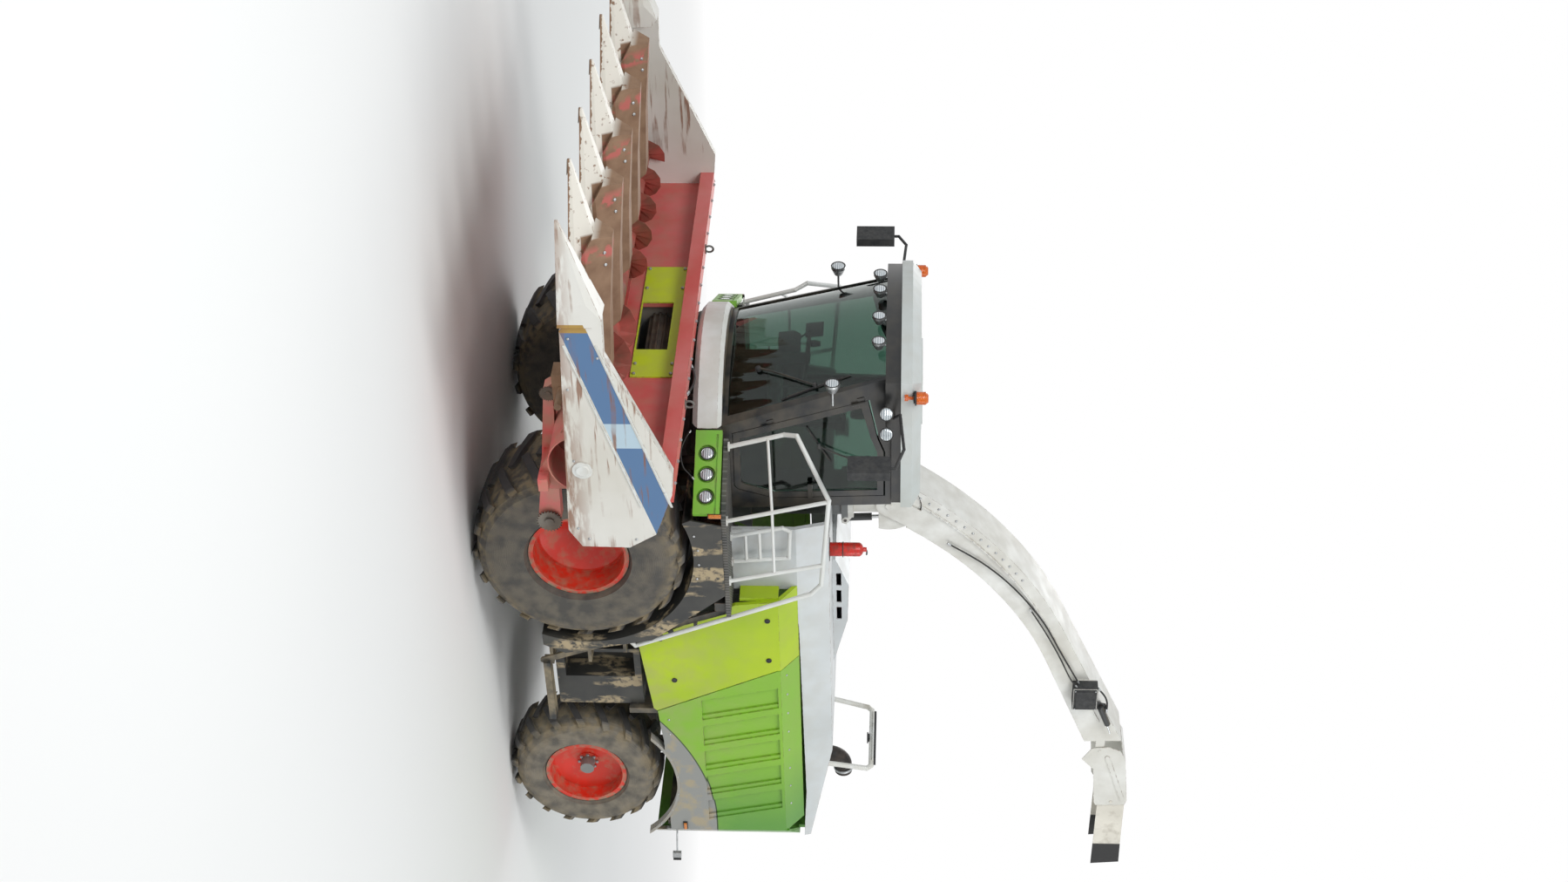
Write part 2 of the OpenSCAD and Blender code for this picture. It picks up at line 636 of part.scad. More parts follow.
rail_pts = [[-1070, 1340], [-430, 2900], [-320, 2990], [620, 3068]];
module railings() color("#e3e4e2") place() both_sides() {
    y = fender_y - 45;
    post_d = rail_d * 0.9;
    foot_z = walk_z + 10;
    tube(concat([[-1004, ladder_y1 + 0.4, 1290], [-1004, y, 1290]],
        [for (p = rail_pts) [p[0], y, p[1]]],
        [[960, 1120, 2790], [925, 1062, 2680], [790, 1060, foot_z]]), rail_d);
    // Posts and mid rails
    rod([385, y, foot_z], [604, y, 3062], post_d);
    rod([-290, y, foot_z], [-100, y, 3006], post_d);
    // Foot plates
    for (p = [[790, 1060], [385, y], [-290, y], [-40, wall_half_w + 60], [-330, wall_half_w + 60]])
        block([p[0] - 35, p[1] - 22, walk_z + seat_gap], [p[0] + 35, p[1] + 22, walk_z + 16]);
    rod([-195, y, 2590], [478, y, 2590], post_d * 0.7);
    rod([488, y, 2590], [892, 1061, 2540], post_d * 0.7);
    // Handrail loop beside the ladder
    ly = wall_half_w + 60;
    tube([[-40, ly, foot_z], [60, ly, 2650], [20, ly, 2715], [-280, ly, 2700],
        [-330, ly, foot_z]], post_d);
    for (z = [2330, 2450])
        rod([(z - walk_z) * 100 / 450 - 40, ly, z], [-330 + (z - walk_z) * 50 / 500, ly, z], post_d * 0.8);
}

// Green panels at the front corners with three lamp recesses each
module lamp_panels() color("#7fb83e") place() both_sides()
    translate([lamp_a[0], lamp_a[1], 1925])
        rotate([0, 0, atan2(lamp_b[1] - lamp_a[1], lamp_b[0] - lamp_a[0])]) difference() {
            cube([lamp_len, 60, 225]);
            for (x = lamp_x) translate([x, -1, 105]) rotate([-90, 0, 0]) cylinder(r = 76, h = 34);
            translate([40, -1, 180]) cube([lamp_len, 10, 12]);
        }

// A round work lamp facing along +x, its back at the origin
module round_lamp(d, l) rotate([0, 90, 0]) rotate_extrude() polygon([[0, 0], [d * 0.28, 0],
    [d * 0.46, l * 0.6], [d / 2, l * 0.72], [d / 2, l], [d * 0.44, l], [d * 0.3, l - 8], [0, l - 4]]);
module work_lamps() color("#c9ccce") place() both_sides() {
    // Lamps in the green panels
    for (i = [0:2])
        translate([lamp_a[0], lamp_a[1], 1925])
            rotate([0, 0, atan2(lamp_b[1] - lamp_a[1], lamp_b[0] - lamp_a[0])])
                translate([lamp_x[i], 33 - seat_gap, 105]) rotate([0, 0, -90]) round_lamp(116, 31);
    // Lamps under the visor: x, y, turn
    for (p = visor_lamps) translate([p[0], p[1], visor_z - 62]) {
        rotate([0, 0, p[2]]) translate([-30, 0, 0]) round_lamp(120, 80);
        cylinder(d = 16, h = 62 - seat_gap);
    }
    for (p = side_lamps) {
        translate([p[0], p[1] - 25, side_lamp_z]) rotate([0, 0, p[2]]) round_lamp(120, 80);
        shaft(p[0], side_lamp_z, 20, visor_side_y(p[0]) + seat_gap, p[1] - 10);
    }
    // Lamps on the front pillars
    tube([[1095, 800.2, 3085], [1095, 868, 3085], [1245, 868, 3085]], 20);
    translate([1238, 868, 3085]) round_lamp(130, 90);
    // Tail lamps on short rods
    translate([body_rear_x, 0, 0]) tube([[139.2, 1285.3, 1540], [101, 1331.6, 1540], [-60, 1420, 1540]], 16);
    translate([body_rear_x - 60, 1420, 1500]) cylinder(d = 70, h = 80);
}

module beacons() color("#e8741c") place() both_sides() {
    block([1207, 912.6, roof_z - 140], [1247, 950, roof_z - 110]);
    translate([1227, 936, roof_z - 111]) cylinder(d = 28, h = 76);
    translate([1227, 936, roof_z - 40]) cylinder(d = 110, h = 75);
    translate([1227, 936, roof_z + 34]) cylinder(d1 = 110, d2 = 70, h = 25);
}

// Space inside the cab's outer faces, drawn in by t, between two heights
module cab_space(t, z0, z1) intersection() {
    translate([screen_axis_x, 0, cab_floor_z]) rotate([0, screen_lean, 0])
        translate([0, 0, -900]) cylinder(r = screen_r - t, h = 3000);
    both_halves() translate([cab_rear_x, cab_half_w - t, cab_floor_z]) rotate([0, 0, -cab_taper])
        rotate([cab_tuck, 0, 0]) translate([-2000, -4000, -1500]) cube([6000, 4000, 5000]);
    block([cab_rear_x + t, -2000, z0], [2500, 2000, z1]);
}
module both_halves() intersection() {
    children();
    mirror([0, 1, 0]) children();
}
// Layer of the cab's wall from depth a to depth b
module cab_layer(a, b) difference() {
    cab_space(a, cab_floor_z + seat_gap, cab_top_z);
    cab_space(b, cab_floor_z - 50, cab_top_z + 50);
}
// Outline of the door and of the side window, drawn in by g
// The top edge is lowest beside the lamps; the door's own edge lies lower by drop
function door_pts(g, drop = 0) = [[785 - g, 2222 + g], [1087 - g * 1.3, 3395 - g - drop],
    [700, 3475 - g - drop], [560, visor_z - 2 - g - drop], [110 + g, visor_z - 2 - g - drop],
    [110 + g, 2560 + g * 0.3], [212 + g * 0.8, 2250 + g], [252 + g * 0.6, 2222 + g]];
function screen_pts(g) = [[-795 + g, 2185 + g], [795 - g, 2185 + g], [735 - g, 3540 - g],
    [-735 + g, 3540 - g]];

// Place at height h on the door's hinge line, beside the left wall
module on_hinge(h) translate([cab_rear_x, cab_half_w, cab_floor_z]) rotate([0, 0, -cab_taper])
    rotate([cab_tuck, 0, 0]) translate(hinge_foot) rotate([0, hinge_lean, 0]) translate([0, 0, h])
        children();

module cab_frame() color("#232425") place() {
    difference() {
        cab_layer(0, cab_t);
        along(600, 2200) polygon(screen_pts(0));
        both_sides() across(500, 1200) polygon(door_pts(0));
        block([-200, -700, 2500], [300, 700, 3450]);
    }
    for (h = hinge_at) on_hinge(h + hinge_l + seat_gap) {
        cylinder(d = hinge_d, h = hinge_l);
        block([5, -15, 0], [45, -6, hinge_l]);
    }
}

module cab_base() color("#3b3c3c") place() {
    intersection() {
        translate([bumper_x, 0, cab_base_z]) cylinder(r = bumper_r - bumper_t - seat_gap, h = 200);
        block([cab_rear_x, -cab_half_w + 80, cab_base_z], [1400, cab_half_w - 80, cab_floor_z]);
    }
    // Brackets under the walkways
    both_sides() {
        block([430, cab_half_w - 81, cab_beam_z], [500, cab_half_w + 11, cab_floor_z]);
        block([430, cab_half_w + 10, cab_beam_z], [500, 1450, walk_z - walk_t - seat_gap]);
    }
}

module front_bumper() color("#dfe1df") place() intersection() {
    translate([bumper_x, 0, 1885]) rotate_extrude($fn = 96) polygon([[bumper_r - bumper_t - 30, 0],
        [bumper_r - 50, 0], [bumper_r, 45], [bumper_r, 215], [bumper_r - 30, 250],
        [bumper_r - bumper_t, 250], [bumper_r - bumper_t, 30], [bumper_r - bumper_t - 30, 30]]);
    block([862, -1000, 1800], [1600, 1000, 2200]);
}

module roof_plan(t) intersection() {
    translate([-740, 0]) circle(r = 2290 - t, $fn = 96);
    polygon([[30 + t, -930 + t], [30 + t, 930 - t], [1700, 905 - t], [1700, -905 + t]]);
}
module cab_roof() color("#c3c8c7") place() hull() {
    translate([0, 0, roof_under_z]) linear_extrude(roof_z - roof_under_z - 75) roof_plan(0);
    translate([0, 0, roof_under_z]) linear_extrude(roof_z - roof_under_z) roof_plan(90);
}
module roof_visor() color("#1d1e1f") place() {
    translate([0, 0, cab_top_z + seat_gap])
        linear_extrude(roof_under_z - cab_top_z - 2 * seat_gap) roof_plan(visor_inset);
    difference() {
        translate([0, 0, visor_z]) linear_extrude(cab_top_z - visor_z + 1) roof_plan(visor_inset);
        translate([0, 0, visor_z - 1]) linear_extrude(cab_top_z - visor_z + 5) roof_plan(50);
        block([-200, -1200, visor_z - 1], [850, 1200, cab_top_z + seat_gap]);
    }
}

module cab_glass() color("#3c5a50", 0.4) place() {
    intersection() {
        cab_layer(15, 15 + glass_t);
        along(600, 2200) polygon(screen_pts(seat_gap));
    }
    mirror([0, 1, 0]) intersection() {
        cab_layer(15, 15 + glass_t);
        across(500, 1200) polygon(door_pts(seat_gap));
    }
    block([cab_rear_x + 15, -700 + seat_gap, 2500 + seat_gap],
        [cab_rear_x + 15 + glass_t, 700 - seat_gap, 3450 - seat_gap]);
}

module cab_door() color("#232425") place() {
    difference() {
        intersection() {
            cab_layer(0, cab_t);
            across(500, 1200) polygon(door_pts(door_gap, door_drop));
        }
        across(500, 1200) polygon(door_pts(door_gap + 55, door_drop));
    }
    // Latch handle on the rear edge
    block([125, door_handle_y, 2860], [165, door_handle_y + 45, 2900]);
    block([125, door_handle_y + 30, 2860], [275, door_handle_y + 45, 2900]);
    for (h = hinge_at) on_hinge(h) {
        cylinder(d = hinge_d, h = hinge_l);
        block([-45, -15, 0], [0, -6, hinge_l]);
    }
}
module door_glass() color("#3c5a50", 0.4) place() intersection() {
    cab_layer(15, 15 + glass_t);
    across(500, 1200) polygon(door_pts(door_gap + 55 + seat_gap, door_drop));
}

module operator_seat() color("#2d2f31") place() {
    block([430, -180, cab_floor_z + seat_gap], [760, 180, 2480]);
    block([400, -260, 2481 - 1], [880, 260, 2600]);
    across(-250, 250) polygon([[400, 2560], [500, 2560], [450, 3200], [350, 3200]]);
    across(-150, 150) polygon([[350, 3190], [430, 3190], [415, 3360], [345, 3360]]);
    both_sides() block([440, 261 - 1, 2740], [760, 330, 2790]);
    both_sides() block([440, 259, 2560], [500, 300, 2741]);
}
module steering_console() color("#33383a") place() {
    rod([945, 0, cab_floor_z + seat_gap + 8], [935, 0, 2830], 110);
    translate([945, 0, cab_floor_z + seat_gap]) cylinder(d = 200, h = 60);
    translate([935, 0, 2830]) rotate([0, -8, 0]) {
        rotate_extrude() translate([195, 0]) circle(d = 28);
        cylinder(d = 90, h = 30);
        for (a = [0, 120, 240]) rotate([0, 0, a]) rod([0, 0, 8], [195, 0, 0], 20);
    }
    // Armrest console beside the seat
    across(-470, -340) polygon([[420, 2560], [880, 2560], [900, 2700], [860, 2760], [440, 2740]]);
    block([520, -450, cab_floor_z + seat_gap], [700, -360, 2561]);
}

module mirrors() color("#2a2b2c") place() both_sides() {
    tube([[1010, 887.9, 3600], [1010, 930, 3600], [1120, 1030, 3655], [1130, 1500, 3690], [1090, 1700, 3620],
        [1090, 1700, 3570]], 26);
    difference() {
        block([1050, 1590, 3230], [1130, 1810, 3580]);
        block([1049, 1605, 3245], [1060, 1795, 3565]);
    }
}

// Pad that follows the slope of the deck's rear end
module hood_pad(x0, x1, y0, y1, h) across(y0, y1) polygon([[x0, hood_z(x0) + seat_gap],
    [x1, hood_z(x1) + seat_gap], [x1, hood_z(x1) + h], [x0, hood_z(x0) + h]]);
module spout_rest() color("#e3e4e2") place() {
    both_sides() hood_pad(rest_x - 60, rest_x + 60, 416, 496, 25);
    translate([rest_x, 0, 0]) {
        tube([[0, -456, rest_z], [-112, -422, 3345], [-118, -380, 3385], [-118, 380, 3385],
            [-112, 422, 3345], [0, 456, rest_z]], 50);
        block([-162, -330, 3395], [-74, 330, 3430]);
    }
}

module exhaust_stack() color("#1f2021") place() {
    hood_pad(exhaust_x - 98, exhaust_x + 98, 152, 348, 40);
    translate([exhaust_x, 250, exhaust_z]) {
        cylinder(d = 170, h = 90);
        translate([-150, 0, 90]) rotate([90, 0, 0]) rotate_extrude(angle = 90) translate([150, 0])
            circle(d = 170);
        translate([-230, 0, 240]) rotate([0, 90, 0]) cylinder(d = 170, h = 80);
    }
}

// Turning head under the spout: ring, round neck, lifting pins and the cylinder's bracket
module spout_turret() color("#d9dbd8") place() {
    difference() {
        union() {
            translate([slew_x, 0, ring_z + seat_gap]) cylinder(r = ring_r, h = 50);
            translate([slew_x, 0, ring_z + 40]) cylinder(r = neck_w, h = 285);
            across(-neck_w, neck_w) intersection() {
                translate([slew_x, spout_pin_z]) circle(r = neck_r);
                polygon([[slew_x - 400, 3460], [slew_x + 400, 3460], [slew_x + 400, 3900],
                    [slew_x - 400, 3900]]);
            }
        }
        block([slew_x - 500, -80, ring_z + 51], [slew_x - 160, 80, 3760]);
    }
    across(-neck_w - 28, neck_w + 28) translate([slew_x, spout_pin_z]) circle(d = spout_pin_d);
    both_sides() across(36, 50) difference() {
        polygon([[slew_x - 150, ring_z + 2], [slew_x - 150, ring_z + 50], [slew_x - 240, ring_z + 50],
            spout_cyl + [-40, 10], spout_cyl + [-30, -30], spout_cyl + [15, -36],
            [slew_x - 240, ring_z + 2]]);
        translate(spout_cyl) circle(d = 30 + 2 * seat_gap);
    }
}

function arc_pt(c, r, a) = [c[0] + r * sin(a), c[1] + r * cos(a)];
// Points along an arc from angle a to angle b
function arc(c, r, a, b) = [for (i = [0:arc_steps]) arc_pt(c, r, a + (b - a) * i / arc_steps)];
// Side outline of the spout: t is taken off its top, b off its underside
module spout_region(t, b) difference() {
    polygon(concat(arc(top_c, top_r - t, root_top_a, tail_a), [tail_top - [0, t], tail_bot + [0, b]],
        arc(bot_c, bot_r + b, tail_a, root_bot_a)));
    translate([slew_x, spout_pin_z]) circle(r = spout_r0);
}
module crop_spout() color("#e2e3e0") place() {
    // Side plates with the ears on the lifting pins and on the deflector's pins
    both_sides() across(spout_w / 2 - spout_side_t, spout_w / 2) difference() {
        union() {
            spout_region(0, 0);
            link([slew_x, spout_pin_z], [slew_x - 220, spout_pin_z + 350], 230);
            link(flap_pin, tail_bot + [60, 160], 90);
        }
        translate([slew_x, spout_pin_z]) circle(d = spout_pin_d + 2 * seat_gap);
        translate(flap_pin) circle(d = 30 + 2 * seat_gap);
    }
    // Top plate over the whole length, underside plate to the open outer end
    plate_y = spout_w / 2 - spout_side_t - seat_gap;
    across(-plate_y, plate_y) difference() {
        spout_region(0, 0);
        spout_region(spout_t, spout_t);
        intersection() {
            spout_region(spout_t, -100);
            translate([-4000, 4000]) square([1100, 2000]);
        }
        translate(tail_bot - [10, 80]) square([60, 300]);
    }
    // Stiffening flange along each side
    both_sides() across(spout_w / 2 - 1, spout_w / 2 + 14) difference() {
        spout_region(112, 60);
        spout_region(128, 60);
        translate([-4000, 5540]) square([700, 900]);
    }
    // Lugs for the lifting cylinder
    both_sides() across(36, 50) link(spout_eye, [-905, 3800], 84);
    across(-49, 49) translate(spout_eye) circle(d = 30);
    // Drive box of the deflector on the left side
    block([-3010, spout_w / 2 - 1, 5330], [-2740, spout_w / 2 + 130, 5560]);
}

module spout_cylinder_barrel() color("#3a3c3d") place() {
    v = spout_eye - spout_cyl;
    difference() {
        union() {
            rod([spout_cyl[0], 0, spout_cyl[1]], [spout_cyl[0], 0, spout_cyl[1]] + 245 * [v[0], 0, v[1]] / norm(v), 70);
            shaft(spout_cyl[0], spout_cyl[1], 66, -34, 34);
        }
        rod([spout_cyl[0], 0, spout_cyl[1]] + 40 * [v[0], 0, v[1]] / norm(v),
            [spout_cyl[0], 0, spout_cyl[1]] + 260 * [v[0], 0, v[1]] / norm(v), 36 + 2 * seat_gap);
    }
    shaft(spout_cyl[0], spout_cyl[1], 30, -52, 52);
}
module spout_cylinder_rod() color("#b9bcbd") place() {
    v = spout_eye - spout_cyl;
    u = [v[0], 0, v[1]] / norm(v);
    difference() {
        union() {
            rod([spout_cyl[0], 0, spout_cyl[1]] + 222 * u, [spout_eye[0], 0, spout_eye[1]] - 30 * u, 36);
            shaft(spout_eye[0], spout_eye[1], 84, -30, 30);
        }
        shaft(spout_eye[0], spout_eye[1], 60, -31, 31);
    }
}

// Deflector behind the spout: side plates, top plate and cross tube
module spout_deflector() color("#e2e3e0") place() {
    both_sides() across(spout_w / 2 + 6, spout_w / 2 + 14) difference() {
        polygon([[-3650, 5720], [-3700, 5840], [-3810, 5900], [-4400, 5950], [-4470, 5930],
            [-4480, 5640], [-4440, 5620], [-3960, 5590], [-3820, 5470], [-3670, 5560]]);
        translate(end_pin) circle(d = 30 + 2 * seat_gap);
    }
    across(-spout_w / 2 - 7, spout_w / 2 + 7) polygon([[-3760, 5874], [-3810, 5900], [-4400, 5950],
        [-4400, 5942], [-3812, 5892], [-3764, 5866]]);
    both_sides() across(spout_w / 2 - 14, spout_w / 2 + 20) translate(flap_pin) circle(d = 30);
    both_sides() across(spout_w / 2 + 13, spout_w / 2 + 25)
        link([-3790, 5720], [-4380, 5900], 44);
}
module spout_end_flap() color("#e2e3e0") place() {
    both_sides() across(spout_w / 2 - 8, spout_w / 2) polygon([[-4395, 5800], [-4440, 5930], [-4860, 5925],
        [-5340, 5925], [-5370, 5640], [-4860, 5650], [-4440, 5660]]);
    across(-spout_w / 2 + 7, spout_w / 2 - 7) polygon([[-4450, 5922], [-4450, 5930], [-4860, 5925],
        [-5340, 5925], [-5341, 5917]]);
    both_sides() across(spout_w / 2 - 1, spout_w / 2 + 20) translate(end_pin) circle(d = 30);
}

module feeder_outline(t) polygon([[lift_x + 120, 1090 + t], [feeder_front_x + t, 1090 + t],
    [feeder_front_x + t, 1700 - t], [lift_x + 120, 1560 - t]]);
// Housing of the feed rolls, hung on the lift pins
module feeder_housing() color("#5f6361") place() {
    difference() {
        across(-feeder_y, feeder_y) difference() {
            feeder_outline(0);
            translate([lift_x, lift_z]) circle(r = 250);
        }
        across(-feeder_y + 38, feeder_y - 38) feeder_outline(28);
        for (z = [roll_low_z, roll_high_z])
            shaft(roll_x, z, roll_shaft_d + 2 * seat_gap, -feeder_y - 1, feeder_y + 1);
    }
    // Arms to the lift pins
    both_sides() across(housing_y + 5, feeder_y) difference() {
        link([lift_x, lift_z], [lift_x + 270, lift_z], 200);
        translate([lift_x, lift_z]) circle(d = lift_pin_d + 2 * seat_gap);
    }
    // Ears for the rods of the lift cylinders
    both_sides() for (y = [cylinder_y - ear_out, cylinder_y + ear_in])
        across(y, y + ear_out - ear_in) polygon([[rod_x - 120, 1091], [rod_x - 40, rod_z - 45], [rod_x + 40, rod_z - 45],
            [rod_x + 120, 1091]]);
    both_sides() shaft(rod_x, rod_z, cyl_pin_d, cylinder_y - ear_out - 3, cylinder_y + ear_out + 3);
}

// Ribbed roll: r is its radius over the ribs
module feed_roll(z, r) {
    across(-feeder_y + 44, feeder_y - 44) translate([roll_x, z]) {
        circle(r = r - 22);
        for (a = [0:30:330]) rotate(a) translate([0, -6]) square([r, 12]);
    }
    shaft(roll_x, z, roll_shaft_d, -feeder_y + 10, feeder_y - 10);
}
module feed_roll_upper() color("#6e5f50") place() feed_roll(roll_high_z, roll_high_r);
module feed_roll_lower() color("#6e5f50") place() feed_roll(roll_low_z, roll_low_r);

module lift_barrels() color("#3a3c3d") place() both_sides() {
    p = [barrel_x, cylinder_y, barrel_z];
    u = ([rod_x, cylinder_y, rod_z] - p) / norm([rod_x, cylinder_y, rod_z] - p);
    difference() {
        union() {
            rod(p, p + 520 * u, 100);
            shaft(barrel_x, barrel_z, 96, cylinder_y - ear_in + 1, cylinder_y + ear_in - 1);
        }
        rod(p + 60 * u, p + 540 * u, 60 + 2 * seat_gap);
    }
    shaft(barrel_x, barrel_z, cyl_pin_d, cylinder_y - ear_out - 3, cylinder_y + ear_out + 3);
}
module lift_rods() color("#b9bcbd") place() both_sides() {
    p = [barrel_x, cylinder_y, barrel_z];
    q = [rod_x, cylinder_y, rod_z];
    u = (q - p) / norm(q - p);
    difference() {
        union() {
            rod(p + 260 * u, q - 40 * u, 60);
            shaft(rod_x, rod_z, 110, cylinder_y - ear_in + 5, cylinder_y + ear_in - 5);
        }
        shaft(rod_x, rod_z, cyl_pin_d + 8, cylinder_y - ear_in, cylinder_y + ear_in);
    }
}

// Back wall, top beam, auger trough, ribs and the lower beams of the header
module header_frame() color("#b4594c") place() {
    w = header_half_w - seat_gap;
    difference() {
        across(-w, w) polygon([[wall_x, 1060], [wall_x + wall_t, 1060], [wall_x + wall_t, 1745],
            [wall_x + 160, 1745], [wall_x + 160, 1870], [wall_x, 1870]]);
        block([wall_x - 10, -350, 1360], [wall_x + wall_t + 10, 350, 1650]);
    }
    across(-w, w) intersection() {
        difference() {
            translate([auger_x, auger_z]) circle(r = trough_r + 10);
            translate([auger_x, auger_z]) circle(r = trough_r);
        }
        polygon([[wall_x + wall_t - 1, 800], [trough_front_x, 800], [trough_front_x, 1180],
            [wall_x + wall_t - 1, 1260]]);
    }
    across(-w, w) polygon([[1330, 800], [1450, 800], [1450, 880], [1330, 880]]);
    across(-w, w) polygon([[deck_x + 70, 1070], [deck_x + 190, 1070], [deck_x + 190, row_deck_z - seat_gap],
        [deck_x + 70, row_deck_z - seat_gap]]);
    for (i = [-3:3]) across(i * rib_pitch - 6, i * rib_pitch + 6) difference() {
        polygon([[wall_x + wall_t - 1, 1150], [wall_x + wall_t - 1, 880], [1330, 800], [1450, 800],
            [deck_x + 80, 1070], [deck_x + 80, 1150], [trough_front_x - 1, 1150]]);
        translate([auger_x, auger_z]) circle(r = trough_r + 5);
    }
    // Chain case of the drive at the left end
    across(header_half_w - 520, header_half_w - 400) polygon([[640, 760], [700, 690], [1300, 770], [2050, 850], [2100, 925],
        [1460, 900], [700, 880]]);
}

module adapter_plate() color("#c9d834") place() difference() {
    block([wall_x + wall_t + seat_gap, -900, 1365], [wall_x + wall_t + 12, 740, 1740]);
    block([wall_x, -350, 1380], [wall_x + 100, 350, 1650]);
}

// Sheet metal ends with their own snouts
module header_end_panels() color("#d8d6d0") place() both_sides() {
    across(header_half_w, header_half_w + 70) difference() {
        polygon([[2950, 1110], [990, 1020], [820, 1120], [810, 1500], [950, 1720], [1360, 1870],
            [1580, 1890], [2720, 1430], [3050, 1440], [3200, 1330]]);
        translate([auger_x, auger_z]) circle(r = 60);
    }
    hull() {
        across(header_half_w - 120, header_half_w + 90) polygon([[2990, 1100], [3180, 1120],
            [3200, 1330], [3060, 1440], [2990, 1380]]);
        translate([tip_x - 30, header_half_w - 8, 1150]) cube([20, 20, 22]);
    }
}

// Chain loop of a row with its gathering lugs, middle line at y = 0
module gathering_chain(side) {
    translate([0, 0, chain_z]) linear_extrude(22) {
        difference() {
            chain_outline(chain_w);
            chain_outline(chain_w - 26);
        }
        for (i = [0:lugs_per_chain - 1])
            translate([chain_x0 + (i + 0.5) * (chain_x1 - chain_x0) / lugs_per_chain, side * (chain_w - 2)])
                polygon([[-26, 0], [26, 0], [8, side * 46], [-8, side * 46]]);
    }
}
module chain_outline(w) {
    translate([chain_x0, -w]) square([chain_x1 - chain_x0, 2 * w]);
    translate([chain_x0, 0]) circle(r = w);
    translate([chain_x1, 0]) circle(r = w);
}
module row_units() color("#7a5a44") place() {
    for (i = [-3:2]) translate([0, (i + 0.5) * row_pitch, 0]) {
        for (side = [-1, 1]) {
            // Deck plate beside the stalk slot
            translate([0, 0, row_deck_z]) linear_extrude(16) polygon([[deck_x, side * slot_w],
                [deck_x, side * (slot_w + deck_w)], [3080, side * (slot_w + deck_w)],
                [3160, side * (slot_w + 70)], [3060, side * slot_w]]);
            translate([0, side * (slot_w + 70), 0]) gathering_chain(-side);
            for (x = [chain_x0, chain_x1]) translate([x, side * (slot_w + 70), row_deck_z + 15])
                cylinder(r = chain_w - 10, h = chain_z - row_deck_z + 8);
        }
        block([deck_x + 70, -90, 930], [deck_x + 330, 90, 1070 - seat_gap]);
    }
    shaft(deck_x + 200, 1000, 60, -header_half_w + 120, header_half_w - 120);
}

// Dividers between the rows: hood over the chains and the pointed snout
module crop_dividers() color("#8a6a50") place() for (i = [-2:2]) translate([0, i * row_pitch, 0]) {
    intersection() {
        along(deck_x + 2, 3300) polygon([[-hood_w, row_deck_z + 17], [-hood_w, row_deck_z + 60], [-50, 1450],
            [50, 1450], [hood_w, row_deck_z + 60], [hood_w, row_deck_z + 17]]);
        across(-300, 300) polygon([[deck_x, row_deck_z + 17], [3100, row_deck_z + 17], [3280, 1300],
            [3240, 1445], [2600, 1385], [1960, 1350], [1930, 1300]]);
    }
    hull() {
        along(2990, 3000) polygon([[-hood_w, 1100], [hood_w, 1100], [hood_w, 1160], [hood_w - 15, 1179],
            [hood_w - 60, 1196], [-hood_w + 60, 1196], [15 - hood_w, 1179], [-hood_w, 1160]]);
        translate([3281, -70, 1200]) cube([4, 140, 100]);
        translate([tip_x - 20, -10, 1150]) cube([20, 20, 22]);
    }
}

// One flight; its outline has four corners and no arc
module auger_flight()
    translate([0, 0, 380]) linear_extrude(auger_half - 400, twist = auger_turn, slices = 60, $fn = 4)
        translate([auger_tube_d / 2 - 8, -5]) square([(auger_d - auger_tube_d) / 2 + 8, 10]);

module header_auger() color("#b4594c") place() translate([auger_x, 0, auger_z]) rotate([-90, 0, 0]) {
    translate([0, 0, -auger_half]) cylinder(d = auger_tube_d, h = 2 * auger_half);
    translate([0, 0, -header_half_w + seat_gap]) cylinder(d = 60, h = 2 * (header_half_w - seat_gap));
    for (s = [0, 1]) mirror([0, 0, s]) auger_flight();
}

main_frame();
front_axle();
rear_axle_beam();
engine_block();
crop_tower();
engine_hood();
side_walls();
louvre_panels();
service_panels();
rear_panel();
rear_fenders();
front_fenders();
side_lockers();
walkways();
ladder();
railings();
lamp_panels();
work_lamps();
beacons();
cab_base();
front_bumper();
cab_frame();
cab_roof();
roof_visor();
cab_glass();
cab_door();
door_glass();
operator_seat();
steering_console();
mirrors();
spout_rest();
exhaust_stack();
front_rim_left();
front_tyre_left();
front_rim_right();
front_tyre_right();
rear_rim_left();
rear_tyre_left();
rear_rim_right();
rear_tyre_right();
steering_knuckle_left();
steering_knuckle_right();
tie_rod();
feeder_housing();
header_frame();
adapter_plate();
header_end_panels();
row_units();
crop_dividers();
header_auger();
feed_roll_upper();
feed_roll_lower();
lift_barrels();
lift_rods();
spout_turret();
crop_spout();
spout_cylinder_barrel();
spout_cylinder_rod();
spout_deflector();
spout_end_flap();
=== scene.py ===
# %% [markdown]
# # A self-propelled forage harvester
#
# The CAD frame already holds every solid of the machine in its place: body, cab, wheels,
# header and spout. This lesson dresses that frame. First come the camera, the light and the
# floor, then one finish after another, and then the small parts that give a field machine
# its look: wheel nuts, hoses, lamp lenses, wipers, cushions, bolts and chains.

import math

import bpy
from mathutils import Matrix, Vector


